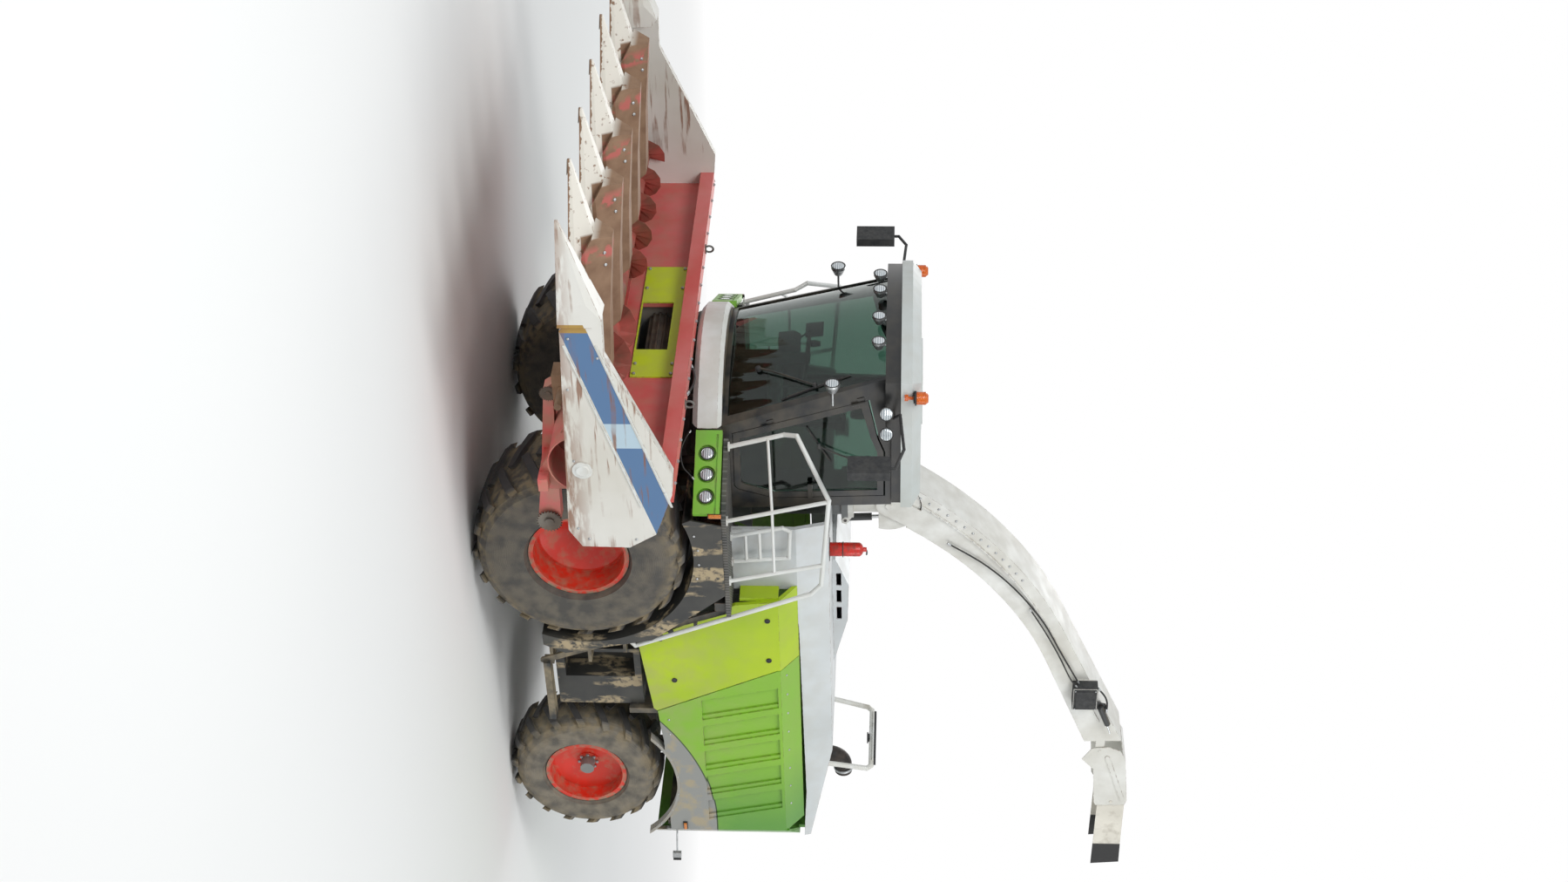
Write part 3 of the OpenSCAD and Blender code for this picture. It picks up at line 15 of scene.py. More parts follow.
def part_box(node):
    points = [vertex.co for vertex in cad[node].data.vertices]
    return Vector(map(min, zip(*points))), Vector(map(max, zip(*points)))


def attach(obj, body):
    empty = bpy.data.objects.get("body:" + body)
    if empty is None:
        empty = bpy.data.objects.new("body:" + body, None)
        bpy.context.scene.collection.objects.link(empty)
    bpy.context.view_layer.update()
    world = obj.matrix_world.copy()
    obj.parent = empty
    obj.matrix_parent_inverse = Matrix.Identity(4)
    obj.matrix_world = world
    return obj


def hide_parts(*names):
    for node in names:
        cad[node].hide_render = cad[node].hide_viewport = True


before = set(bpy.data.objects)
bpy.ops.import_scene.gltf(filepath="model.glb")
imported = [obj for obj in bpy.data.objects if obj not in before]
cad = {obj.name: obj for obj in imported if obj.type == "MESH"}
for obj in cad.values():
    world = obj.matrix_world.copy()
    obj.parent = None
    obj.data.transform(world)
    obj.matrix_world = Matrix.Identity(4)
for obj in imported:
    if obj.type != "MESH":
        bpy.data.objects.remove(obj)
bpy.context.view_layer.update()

# %% [markdown]
# ## The camera
#
# The photograph was taken from the front left with the camera held on its side, so the
# machine lies across the picture. A camera was solved from the row spacing of the header
# and from the wheels. Its three axes are worked out from the heading, the tilt and the
# small roll, and the quarter turn of the picture is put in by naming the photograph's
# "up" as the camera's right.

# %% Camera at the photograph's place
EYE = Vector((13.860, 16.397, 3.719))
HEADING, TILT, ROLL = 4.0377, -0.0530, 0.0091
FOCAL_PIXELS, LONG_SIDE = 2676.35, 1800
SENSOR_MM = 36.0

forward = Vector((math.cos(HEADING) * math.cos(TILT), math.sin(HEADING) * math.cos(TILT), math.sin(TILT)))
level_right = Vector((math.sin(HEADING), -math.cos(HEADING), 0))
level_up = level_right.cross(forward)
photo_right = level_right * math.cos(ROLL) + level_up * math.sin(ROLL)
photo_up = level_up * math.cos(ROLL) - level_right * math.sin(ROLL)

camera_data = bpy.data.cameras.new("field_camera")
camera_data.sensor_fit = "HORIZONTAL"
camera_data.sensor_width = SENSOR_MM
camera_data.lens = FOCAL_PIXELS / LONG_SIDE * SENSOR_MM
camera_data.clip_end = 300
camera = bpy.data.objects.new("field_camera", camera_data)
bpy.context.collection.objects.link(camera)
turn = Matrix((photo_up, -photo_right, -forward)).transposed()
camera.matrix_world = Matrix.Translation(EYE) @ turn.to_4x4()
bpy.context.scene.camera = camera
bpy.context.scene.view_settings.view_transform = "Standard"
print("lens", round(camera_data.lens, 2), "mm")

# %% [markdown]
# ## A few helpers for every finish
#
# Paint charts give colours as sRGB hex values, but Blender's shaders work in linear light,
# so one function converts them. Another adds a node, sets its values and links it, and
# gives back the output that is wanted. A mask is a number from 0 to 1 over the surface:
# `ramp` makes one out of a measure, and `combine` puts several together.

# %% Colours and nodes
def srgb(code):
    """A hex colour such as "#c8412a" as the linear RGBA that a shader wants."""
    channels = [int(code[i : i + 2], 16) / 255 for i in (1, 3, 5)]
    return tuple(c / 12.92 if c <= 0.04045 else ((c + 0.055) / 1.055) ** 2.4 for c in channels) + (1.0,)


def fill(node, sockets):
    """Gives sockets a value or a link; i0 is the first socket, From_Min the one of that name."""
    for key, value in sockets.items():
        wanted = node.inputs[int(key[1:]) if key[1:].isdigit() else key.replace("_", " ")]
        if isinstance(value, bpy.types.NodeSocket):
            node.id_data.links.new(value, wanted)
        else:
            wanted.default_value = value


def add_node(mat, kind, settings=None, out=0, **sockets):
    """Adds a node to a material or a world, sets and links it, and gives back one output."""
    node = mat.node_tree.nodes.new("ShaderNode" + kind)
    for key, value in (settings or {}).items():
        setattr(node, key, value)
    fill(node, sockets)
    return node.outputs[out]


def coat(mat, **sockets):
    """Values and links for the material's main shader."""
    fill(mat.node_tree.nodes["Principled BSDF"], sockets)


finish = {}


def new_material(name, **values):
    """A material, kept under its name, with plain values on its main shader."""
    finish[name] = mat = bpy.data.materials.new(name)
    mat.use_nodes = True
    coat(mat, **values)
    return mat


def ramp(mat, value, low=0.0, high=1.0, start=0.0, end=1.0):
    """Runs from start to end while the value goes from low to high; high may be the smaller."""
    return add_node(mat, "MapRange", i0=value, From_Min=low, From_Max=high, To_Min=start, To_Max=end)


def combine(mat, first, *others, how="MULTIPLY"):
    """Masks or numbers put together from the left."""
    for other in others:
        first = add_node(mat, "Math", {"operation": how}, i0=first, i1=other)
    return first


print("white in linear light:", [round(v, 3) for v in srgb("#e3e4e2")])

# %% [markdown]
# ## A studio for a machine nine metres long
#
# A plain pale floor carries the shadow. Far from the machine it fades to the same white as
# the world, and only where the camera or a reflection looks, so that the white adds no
# light. Three large area lamps and a soft world do the lighting.

# %% Floor, world and lamps
FLOOR_RADIUS = 60.0
FADE_FROM, FADE_TO = 9.0, 22.0
FULL_WHITE = {"Color": (1, 1, 1, 1), "Strength": 1.0}


def ray_share(owner):
    """1 where a camera, glossy or transmission ray looks, and 0 for light on the object."""
    kinds = ("Camera", "Glossy", "Transmission")
    rays = [add_node(owner, "LightPath", out="Is " + kind + " Ray") for kind in kinds]
    return combine(owner, *rays, how="MAXIMUM")


bpy.ops.object.select_all(action="DESELECT")
bpy.ops.mesh.primitive_circle_add(vertices=96, radius=FLOOR_RADIUS, fill_type="NGON", location=(0, 0, -0.002))
floor = bpy.context.object
floor.name = "studio_floor"
matt = new_material("matt_floor_paint", Base_Color=srgb("#f1f1ef"), Roughness=0.9)
place = add_node(matt, "TexCoord", out="Object")
distance = add_node(matt, "VectorMath", {"operation": "LENGTH"}, out="Value", i0=place)
seen = combine(matt, ramp(matt, distance, FADE_FROM, FADE_TO), ray_share(matt))
glow = add_node(matt, "Emission", **FULL_WHITE)
blend = add_node(matt, "MixShader", i0=seen, i1=matt.node_tree.nodes["Principled BSDF"].outputs[0], i2=glow)
fill(matt.node_tree.nodes["Material Output"], {"Surface": blend})
floor.data.materials.append(matt)

world = bpy.data.worlds.new("soft_studio")
bpy.context.scene.world = world
world.use_nodes = True
ambient = world.node_tree.nodes["Background"]
fill(ambient, {"Color": srgb("#eef3f8"), "Strength": 0.5})
white = add_node(world, "Background", **FULL_WHITE)
sky = add_node(world, "MixShader", i0=ray_share(world), i1=ambient.outputs[0], i2=white)
fill(world.node_tree.nodes["World Output"], {"Surface": sky})


def area_lamp(name, place_at, size, watts):
    """A square soft lamp that looks at the middle of the machine."""
    data = bpy.data.lights.new(name, "AREA")
    data.size = size
    data.energy = watts
    lamp = bpy.data.objects.new(name, data)
    bpy.context.collection.objects.link(lamp)
    lamp.location = place_at
    lamp.rotation_euler = (Vector((0, 0, 2)) - Vector(place_at)).to_track_quat("-Z", "Y").to_euler()


area_lamp("key_lamp", (12, 9, 13), 7, 1500)
area_lamp("side_lamp", (-9, 13, 9), 9, 750)
area_lamp("far_lamp", (-6, -14, 11), 9, 750)

# %% [markdown]
# ## What a season in the field does to paint
#
# A working machine is never one flat colour. Sun fades the enamel in broad patches, dust
# settles low down and on what looks up, and paint chips off along the edges. Each of these
# is one mask, made once here and mixed into every finish. The edge mask compares the true
# normal with one that is rounded over a few millimetres: they differ only at edges.

# %% Masks for fading, dust and chipped edges
def place_on(mat):
    """The place on the object in metres, as the outputs X, Y and Z."""
    return add_node(mat, "SeparateXYZ", i0=add_node(mat, "TexCoord", out="Object")).node.outputs


def size_of(mat, value):
    """A number without its sign, so that one rule serves both sides of the machine."""
    return add_node(mat, "Math", {"operation": "ABSOLUTE"}, i0=value)


def patches(mat, size_mm, low, high, stretch=(1, 1, 1)):
    """Soft patches of about this size; stretch pulls them out into streaks."""
    place = add_node(mat, "Mapping", Vector=add_node(mat, "TexCoord", out="Object"), Scale=stretch)
    return ramp(mat, add_node(mat, "TexNoise", Vector=place, Scale=1000 / size_mm, Detail=5.0), low, high)


def settled_dust(mat, full_below, none_above):
    """Dust lies thick near the ground and thin high up, and always on upward faces."""
    low = ramp(mat, place_on(mat)["Z"], full_below, none_above, 1.0, 0.0)
    upward = add_node(mat, "SeparateXYZ", out="Z", i0=add_node(mat, "NewGeometry", out="Normal"))
    lying = ramp(mat, upward, 0.5, 1.0, 0.0, 0.45)
    return combine(mat, combine(mat, low, lying, how="MAXIMUM"), patches(mat, 170, 0.36, 0.62))


def chipped_edges(mat, width_mm):
    """1 on a sharp edge and 0 on flat sheet, broken up so that only some of it is bare."""
    rounded = add_node(mat, "Bevel", {"samples": 4}, Radius=width_mm / 1000)
    true = add_node(mat, "NewGeometry", out="Normal")
    along = add_node(mat, "VectorMath", {"operation": "DOT_PRODUCT"}, out="Value", i0=rounded, i1=true)
    return combine(mat, ramp(mat, along, 0.995, 0.9), patches(mat, 55, 0.47, 0.56))


def layer(mat, mask, below, above):
    """One coat over another where the mask is 1; each coat is a hex colour or a link."""
    below, above = (srgb(colour) if isinstance(colour, str) else colour for colour in (below, above))
    return add_node(mat, "Mix", {"data_type": "RGBA"}, out=2, i0=mask, i6=below, i7=above)


def wave(mat, value, per_metre):
    """Even waves along a measure, from -1 to 1, at so many radians a metre."""
    return add_node(mat, "Math", {"operation": "SINE"}, i0=combine(mat, value, per_metre))


def relief(mat, height, depth_mm, strength):
    """The surface raised where the height is 1, as far as light shows it."""
    coat(mat, Normal=add_node(mat, "Bump", Strength=strength, Distance=depth_mm / 1000, Height=height))


def grain(mat, size_mm, depth_mm, strength):
    """A fine unevenness of the surface."""
    place = add_node(mat, "TexCoord", out="Object")
    relief(mat, add_node(mat, "TexNoise", Vector=place, Scale=1000 / size_mm, Detail=3.0), depth_mm, strength)


print("masks ready")

# %% [markdown]
# ## Enamelled sheet steel
#
# Nearly all of the machine is sheet steel with a baked enamel. Enamel has the IOR of a
# hard resin, about 1.5, and a gloss that dust dulls. One function lays the coats in the
# order in which they came: paint, fading, bare rust on the edges, dust. Each colour then
# needs a single line, with the heights between which its dust thins out and how thick it is.

# %% Enamel in the machine's colours
RESIN_IOR, RUBBER_IOR, ACRYLIC_IOR, GLASS_IOR = 1.5, 1.52, 1.49, 1.5
DUST = "#a59679"


def enamel(name, paint, faded, dusty, share, gloss=0.36, bare="#6b4a38", dust=DUST, chips=True):
    """Smooth paint, faded in patches, bare on edges and dulled by dust between two heights."""
    mat = new_material(name, IOR=RESIN_IOR)
    colour = layer(mat, patches(mat, 800, 0.35, 0.68), paint, faded)
    if chips:
        colour = layer(mat, chipped_edges(mat, 7), colour, bare)
    dirt = combine(mat, settled_dust(mat, *dusty), share)
    coat(mat, Base_Color=layer(mat, dirt, colour, dust), Roughness=ramp(mat, dirt, start=gloss, end=0.85))
    grain(mat, 14, 0.5, 0.12)
    return mat


# The cool pale sheets, and the two bright greens that catch the eye first
enamel("light_grey_enamel", "#cdd1d2", "#bfc4c5", (1.5, 3.6), 0.35)
enamel("lime_green_enamel", "#b4cc12", "#a2bf1c", (1.2, 2.6), 0.45)
enamel("lamp_panel_green", "#7fc03a", "#74b33a", (1.6, 2.6), 0.3)
# Dull dark frame parts, half lost under dust
enamel("frame_black_enamel", "#2b2d2e", "#3a3b3a", (0.6, 2.4), 0.75, gloss=0.5)
enamel("fender_grey_enamel", "#9a9b98", "#8b8b86", (1.0, 2.0), 0.8)
enamel("cast_iron_paint", "#6a6c69", "#5b5c58", (0.5, 1.8), 0.8, gloss=0.6)
enamel("drum_housing_grey", "#77797a", "#686a68", (0.8, 2.2), 0.7, gloss=0.55)
# The clean whites of roof, rails and bumper, and the spout's, yellowed by crop juice
enamel("roof_grey_enamel", "#c6cbc9", "#b8beba", (2.6, 4.4), 0.3, chips=False)
enamel("white_enamel", "#e4e6e3", "#d7d9d4", (1.2, 3.4), 0.3)
enamel("spout_white_enamel", "#e6e6e1", "#d5d3ca", (3.0, 8.5), 0.35, dust="#a39c8c")
# The header's red, bleached to pink where stalks rub it, and its lime plate
enamel("header_red_enamel", "#d0544f", "#dd8380", (0.9, 2.0), 0.5, gloss=0.5, bare="#7b4a36")
enamel("adapter_lime_enamel", "#c9dc1c", "#c0d233", (1.0, 1.9), 0.35)
# The cab's posts: nearly black and the glossiest paint of all
enamel("cab_black_enamel", "#1b1d1f", "#26282a", (1.8, 4.2), 0.18, gloss=0.3, chips=False)
print("enamels:", len(finish) - 1)

# %% [markdown]
# ## Mud, bare steel and rubber
#
# The fenders and lockers behind the wheels are black, with beige mud thrown up in long
# smears. The gathering units have lost their paint: they are rust brown steel, polished
# where the crop slides. Both come from the same masks with other sizes and colours.
# Chrome, soot, moulded plastic and hose rubber are plainer: one colour, patches of a
# second, and a gloss that changes a little from place to place.

# %% Mud-smeared black, worn steel, chrome, soot and rubber
def muddy_black(name, share):
    """Black sheet under mud that stands off the surface and takes all of the shine."""
    mat = new_material(name, IOR=RESIN_IOR)
    mud = combine(mat, patches(mat, 240, 0.53, 0.6, (1.6, 1.6, 0.5)), patches(mat, 45, 0.34, 0.52), share)
    black = layer(mat, patches(mat, 300, 0.3, 0.7), "#2c2d2d", "#45443f")
    coat(mat, Base_Color=layer(mat, mud, black, "#b3a283"), Roughness=ramp(mat, mud, start=0.45, end=0.95))
    relief(mat, mud, 4, 0.6)


def worn_steel(name, rust, light, polished, gloss=0.55, size_mm=120):
    """Dull rust with streaks of metal that shine where the crop has rubbed."""
    mat = new_material(name, IOR=RESIN_IOR)
    bright = combine(mat, patches(mat, 500, 0.52, 0.66, (0.5, 2, 1)), 0.7)
    brown = layer(mat, patches(mat, size_mm, 0.35, 0.65), rust, light)
    coat(mat, Base_Color=layer(mat, bright, brown, polished), Metallic=ramp(mat, bright, end=0.7),
         Roughness=ramp(mat, bright, start=gloss + 0.2, end=gloss - 0.1))
    grain(mat, 9, 1.0, 0.35)


def mottled(name, first, second, patch, share=1.0, rough=None, **values):
    """One colour with patches of a second; patch and rough begin with what patches() takes,
    and rough ends with the smoothest and the dullest."""
    mat = new_material(name, **values)
    coat(mat, Base_Color=layer(mat, combine(mat, patches(mat, *patch), share), first, second))
    if rough:
        *mask, smooth, dull = rough
        coat(mat, Roughness=ramp(mat, patches(mat, *mask), start=smooth, end=dull))
    return mat


muddy_black("muddy_fender_black", 0.95)
muddy_black("locker_black", 0.8)
worn_steel("row_steel", "#7d5f47", "#94755a", "#8d7a68")
worn_steel("auger_steel", "#7c4f3f", "#b65a50", "#8b7264", 0.5, 220)
worn_steel("roll_steel", "#4f463e", "#6c5d4e", "#8a857c", 0.45)
# Piston rods mirror the sky, with a thin smut of oil
mottled("hard_chrome", "#c9cccd", "#aeb1b0", (60, 0.4, 0.7), Metallic=1.0, Roughness=0.12)
# The exhaust drinks the light: soot with a brown bloom from the heat
mottled("heat_stained_steel", "#191a1b", "#3a322c", (90, 0.35, 0.65), rough=(70, 0.3, 0.7, 0.45, 0.75),
        IOR=RESIN_IOR, Metallic=0.3)
# Castings of lamps and nuts: grey metal, half bright
mottled("die_cast_aluminium", "#b9bcbe", "#9a9c9c", (40, 0.3, 0.7), rough=(25, 0.3, 0.7, 0.25, 0.45),
        Metallic=0.85)
# A small red with the shine of a new tin, browned by exhaust
mottled("extinguisher_red_enamel", "#c9261c", "#8f3327", (50, 0.45, 0.7), rough=(50, 0.45, 0.7, 0.25, 0.6),
        IOR=RESIN_IOR)
# Plastic and rubber look alike: soft highlights on a pebbled black, grey with dust
for name, dark, dusty, share in (("moulded_black_plastic", "#202224", "#3b3b39", 0.5),
                                 ("hose_rubber", "#1a1b1c", "#3a3732", 0.6)):
    mat = mottled(name, dark, dusty, (70, 0.4, 0.62), share, (30, 0.3, 0.7, 0.55, 0.8), IOR=RUBBER_IOR)
    grain(mat, 3, 0.3, 0.3)
print("finishes so far:", len(finish))

# %% [markdown]
# ## Tyres and rims
#
# A tyre's look follows its radius: fine moulded rings on the sidewall, grey dust there, mud
# packed between the lugs, and dark rubber on the lug tops where the ground wipes them. So
# the finish measures the distance from the wheel's own axle, and each wheel gets its own
# centre. The rim uses the same distance, for its grey hub cap and the dirt at the bead.

# %% Finishes that follow the distance from an axle
AXLE_X = 0.735
WHEELBASE = 3.0
WHEELS = {
    "front": {"x": AXLE_X, "z": 0.925, "lug_root": 0.880, "bead": 0.4065, "cap": 0.083,
              "wall": ("#45433f", "#635d52")},
    "rear": {"x": AXLE_X - WHEELBASE, "z": 0.720, "lug_root": 0.675, "bead": 0.3555, "cap": 0.067,
             "wall": ("#57534b", "#7d7566")},
}
RING_WAVE = 450.0  # radians a metre: moulded rings 14 mm apart


def distance_across(mat, x, z):
    """Distance from a line that runs along y through this x and z."""
    place = add_node(mat, "TexCoord", out="Object")
    flat = add_node(mat, "Mapping", Vector=place, Location=(-x, 0, -z), Scale=(1, 0, 1))
    return add_node(mat, "VectorMath", {"operation": "LENGTH"}, out="Value", i0=flat)


def tyre_rubber(name, wheel):
    """Matt rubber: dusty rings on the wall, dark lug tops, and beige mud between the lugs."""
    mat = new_material(name, IOR=RUBBER_IOR)
    radius, root = distance_across(mat, wheel["x"], wheel["z"]), wheel["lug_root"]
    wall = layer(mat, patches(mat, 130, 0.35, 0.62), *wheel["wall"])
    tread = combine(mat, ramp(mat, radius, root + 0.004, root + 0.03), 0.85)
    grooves = ramp(mat, radius, root + 0.012, root - 0.004)
    near_tread = ramp(mat, radius, root - 0.16, root - 0.02)
    packed = combine(mat, grooves, near_tread, patches(mat, 90, 0.42, 0.58))
    colour = layer(mat, combine(mat, packed, 0.85), layer(mat, tread, wall, "#3b3b3d"), "#8c7e64")
    coat(mat, Base_Color=colour, Roughness=ramp(mat, packed, start=0.66, end=0.95))
    relief(mat, wave(mat, radius, RING_WAVE), 1.5, 0.35)


def rim_enamel(name, wheel, paint, faded):
    """Warm red enamel, with a grey cap in the middle and dirt where the tyre sits."""
    mat = new_material(name, IOR=RESIN_IOR)
    radius = distance_across(mat, wheel["x"], wheel["z"])
    colour = layer(mat, patches(mat, 260, 0.35, 0.7), paint, faded)
    bead = ramp(mat, radius, wheel["bead"] - 0.03, wheel["bead"] + 0.02)
    colour = layer(mat, combine(mat, bead, patches(mat, 60, 0.42, 0.6)), colour, "#8d7f69")
    colour = layer(mat, ramp(mat, radius, wheel["cap"] + 0.002, wheel["cap"]), colour, "#7d7f7c")
    dust = combine(mat, patches(mat, 90, 0.5, 0.7), 0.45)
    coat(mat, Base_Color=layer(mat, dust, colour, DUST), Roughness=ramp(mat, dust, start=0.34, end=0.8))
    grain(mat, 20, 0.5, 0.1)


for axle, wheel in WHEELS.items():
    tyre_rubber(axle + "_tyre_rubber", wheel)
    rim_enamel(axle + "_rim_enamel", wheel, "#dc2f1b", "#c23a24")
print("wheel finishes:", [name for name in finish if "tyre" in name or "rim" in name])

# %% [markdown]
# ## The header's own paints
#
# The end panels are white with a blue stripe that climbs along the slope, and a paler blue
# patch in its middle. The stripe is worked out from two points of its middle line in x and
# z, so that it follows the panel and not the camera. The snouts between the rows are white
# on top, with the paint worn to brown steel on both edges, and the hoods behind them are
# bare brown sheet.

# %% End panels with a stripe, and snouts with worn edges
# Places in x and z, in metres; x is measured from the front axle
STRIPE_LOW, STRIPE_HIGH = (2.920, 1.2225), (1.190, 1.756)
STRIPE_SLOPE = (STRIPE_HIGH[1] - STRIPE_LOW[1]) / (STRIPE_HIGH[0] - STRIPE_LOW[0])
STRIPE_HALF = 0.104
PATCH_X = (1.830, 2.070)
OUTER_FACE_Y = 2.388


def past(mat, x, first, last):
    """0 before the first of two places in x and 1 past the last, from the front axle."""
    return ramp(mat, x, first + AXLE_X, last + AXLE_X)


panel = new_material("end_panel_enamel", IOR=RESIN_IOR)
x, y, z = place_on(panel)
middle = add_node(panel, "Math", {"operation": "MULTIPLY_ADD"}, i0=x, i1=STRIPE_SLOPE,
                  i2=STRIPE_LOW[1] - STRIPE_SLOPE * (STRIPE_LOW[0] + AXLE_X))
off_line = size_of(panel, combine(panel, z, middle, how="SUBTRACT"))
stripe = combine(panel, ramp(panel, off_line, STRIPE_HALF + 0.002, STRIPE_HALF),
                 ramp(panel, size_of(panel, y), OUTER_FACE_Y - 0.002, OUTER_FACE_Y),
                 past(panel, x, STRIPE_LOW[0] + 0.103, STRIPE_LOW[0] + 0.100))
begun, ended = past(panel, x, PATCH_X[0], PATCH_X[0] + 0.003), past(panel, x, PATCH_X[1] + 0.003, PATCH_X[1])
blue = layer(panel, combine(panel, begun, ended), "#55779f", "#b7ccd8")
blue = layer(panel, past(panel, x, 2.93, 2.935), blue, "#b08d45")
white = layer(panel, patches(panel, 700, 0.35, 0.7), "#e3e1da", "#d3cfc4")
scratches = combine(panel, patches(panel, 120, 0.56, 0.62, (0.18, 1, 2.6)), patches(panel, 420, 0.42, 0.6))
low_edge = combine(panel, ramp(panel, z, 1.24, 1.05), patches(panel, 90, 0.42, 0.55, (0.4, 1, 2)))
rust = combine(panel, scratches, low_edge, chipped_edges(panel, 10), how="MAXIMUM")
colour = layer(panel, combine(panel, rust, 0.85), layer(panel, stripe, white, blue), "#8a5f45")
coat(panel, Base_Color=colour, Roughness=ramp(panel, rust, start=0.4, end=0.8))
grain(panel, 40, 2.0, 0.2)

snout = new_material("worn_snout_enamel", IOR=RESIN_IOR)
x, y, z = place_on(snout)
# The lower edge climbs from 1100 mm at the foot of a snout to 1150 mm at its tip
low_edge = ramp(snout, x, 2.995 + AXLE_X, 3.9 + AXLE_X, 1.100, 1.150)
over = combine(snout, z, low_edge, combine(snout, patches(snout, 45, 0.35, 0.65), 0.016), how="SUBTRACT")
bare_shell = combine(snout, ramp(snout, z, 1.212, 1.204), past(snout, x, 3.265, 3.285), how="MAXIMUM")
white_top = combine(snout, ramp(snout, over, 0.003, 0.007), bare_shell, past(snout, x, 2.998, 3.004))
red_band = combine(snout, past(snout, x, 3.06, 3.09), past(snout, x, 3.22, 3.15),
                   patches(snout, 100, 0.46, 0.54))
colour = layer(snout, patches(snout, 140, 0.35, 0.65), "#80624b", "#94765d")
colour = layer(snout, red_band, colour, "#b9655c")
colour = layer(snout, combine(snout, white_top, patches(snout, 50, 0.3, 0.4)), colour, "#e2ddd2")
coat(snout, Base_Color=colour, Roughness=ramp(snout, white_top, start=0.7, end=0.42))
grain(snout, 25, 1.5, 0.25)
print("stripe slope", round(STRIPE_SLOPE, 4))

# %% [markdown]
# ## Plate, glass, lamps and fabric
#
# The walkways are checker plate: steel rolled with raised lozenges 30 mm apart, drawn here
# as two crossed waves in the bump. Cab glass is tinted green in its mass, so it takes its
# colour from transmission with an IOR of 1.5. A beacon is orange acrylic with ribs that
# break up its light. Lamp glasses have level flutes, and their bright and dark sides are a
# painted highlight and painted shade in the glass's colour. The small lenses have prisms,
# with painted glints in their middles and painted shade at their edges. The seat is woven
# polyester with threads about 2 mm apart, drawn as coarse as the render can show.

# %% Checker plate, tinted glass, acrylic, mirror and cloth
# Waves in radians a metre
LOZENGE_WAVE, BEACON_RIBS, LAMP_FLUTES, THREADS = 105.0, 520.0, 330.0, 1300.0

checker = new_material("checker_plate_steel", IOR=RESIN_IOR)
x, y, z = place_on(checker)
crossed = [wave(checker, combine(checker, x, y, how=how), LOZENGE_WAVE) for how in ("ADD", "SUBTRACT")]
raised = ramp(checker, combine(checker, *crossed), 0.25, 0.5)
tread = layer(checker, patches(checker, 200, 0.35, 0.65), "#3a3b3a", "#5a5750")
coat(checker, Base_Color=layer(checker, combine(checker, raised, 0.5), tread, "#7b7a76"),
     Roughness=ramp(checker, raised, start=0.7, end=0.4))
relief(checker, raised, 2, 0.8)

glass = new_material("green_tinted_glass", IOR=GLASS_IOR, Transmission_Weight=1.0)
film = combine(glass, patches(glass, 300, 0.45, 0.75), 0.10)
coat(glass, Base_Color=layer(glass, film, "#7b988c", "#85928a"),
     Roughness=ramp(glass, film, start=0.01, end=0.9))

acrylic = mottled("orange_acrylic", "#f07a12", "#e2600c", (30, 0.3, 0.7),
                  IOR=ACRYLIC_IOR, Roughness=0.12, Transmission_Weight=0.35)
relief(acrylic, wave(acrylic, place_on(acrylic)["Z"], BEACON_RIBS), 2, 0.4)

lamp_front = new_material("fluted_lamp_glass", IOR=GLASS_IOR, Roughness=0.05, Coat_Weight=1.0, Metallic=0.35)
flutes = wave(lamp_front, place_on(lamp_front)["Z"], LAMP_FLUTES)
# Painted highlight and painted shade: the bright and dark sides of the flutes are mixed into the glass's
# colour
coat(lamp_front, Base_Color=layer(lamp_front, ramp(lamp_front, flutes, -0.5, 0.8), "#8f999f", "#dfe5e8"))
relief(lamp_front, flutes, 2, 0.5)

# A mirror shows its surroundings, dimmed a little by dust
mottled("silvered_mirror_glass", "#d9e0e4", "#a7adb0", (90, 0.5, 0.8), Metallic=1.0, Roughness=0.03)


def moulded_lens(name, bright, prism_shade):
    """Pigmented acrylic for marker and tail lamps, with small prisms in its face, each lighter in its middle
    as a painted glint and darker at its edge as painted shade.
    """
    mat = new_material(name, IOR=ACRYLIC_IOR, Roughness=0.1, Coat_Weight=0.6)
    place = add_node(mat, "TexCoord", out="Object")
    prisms = add_node(mat, "TexVoronoi", out="Distance", Vector=place, Scale=150.0)
    # Painted glints and painted shade: each prism is lighter in its middle and darker toward its edge
    coat(mat, Base_Color=layer(mat, prisms, bright, prism_shade))
    relief(mat, prisms, 1, 0.5)


moulded_lens("amber_lens", "#e8891c", "#a85a10")
moulded_lens("red_lens", "#d8241c", "#8a1410")

cloth = new_material("woven_seat_polyester", Roughness=0.9, Sheen_Weight=0.4)
x, y, z = place_on(cloth)
weave = combine(cloth, wave(cloth, y, THREADS), wave(cloth, combine(cloth, x, z, how="ADD"), THREADS))
coat(cloth, Base_Color=layer(cloth, ramp(cloth, weave, -0.6, 0.6), "#2b2e31", "#45494d"))
relief(cloth, weave, 1, 0.6)
print("finishes:", len(finish))

# %% [markdown]
# ## Nodes of two tones
#
# The hoop behind the engine carries a black rubber pad, and the last stretch of the spout
# is a black rubber mouth. The green side turns darker toward the back as painted shade, and
# over the rear wheel it ends in a grey moulding, with a painted shadow line along the arc
# where the green sheet overlaps it. Each of these is one solid in the CAD, so its finish
# changes with place.

# %% Hoop with its pad, the spout's rubber mouth, and the green side
# The arc over the rear wheel in x and z, and where painted shade darkens the green, in metres
ARC_CENTRE, ARC_RADIUS = (-2.786, -0.230), 2.171
SHADE_X = (-1.9, -2.8)
SIDE_FACE_Y = 1.172


def two_tone(name, first, second, axis, low, high):
    """White enamel that turns to rubber where one coordinate passes from low to high."""
    mat = new_material(name, IOR=RESIN_IOR)
    rubber = ramp(mat, place_on(mat)[axis], low, high)
    base = layer(mat, patches(mat, 300, 0.35, 0.7), first, "#cfcabd")
    base = layer(mat, combine(mat, patches(mat, 120, 0.5, 0.7), 0.5), base, "#8f8673")
    coat(mat, Base_Color=layer(mat, rubber, base, second), Roughness=ramp(mat, rubber, start=0.4, end=0.75))
    grain(mat, 10, 0.5, 0.2)


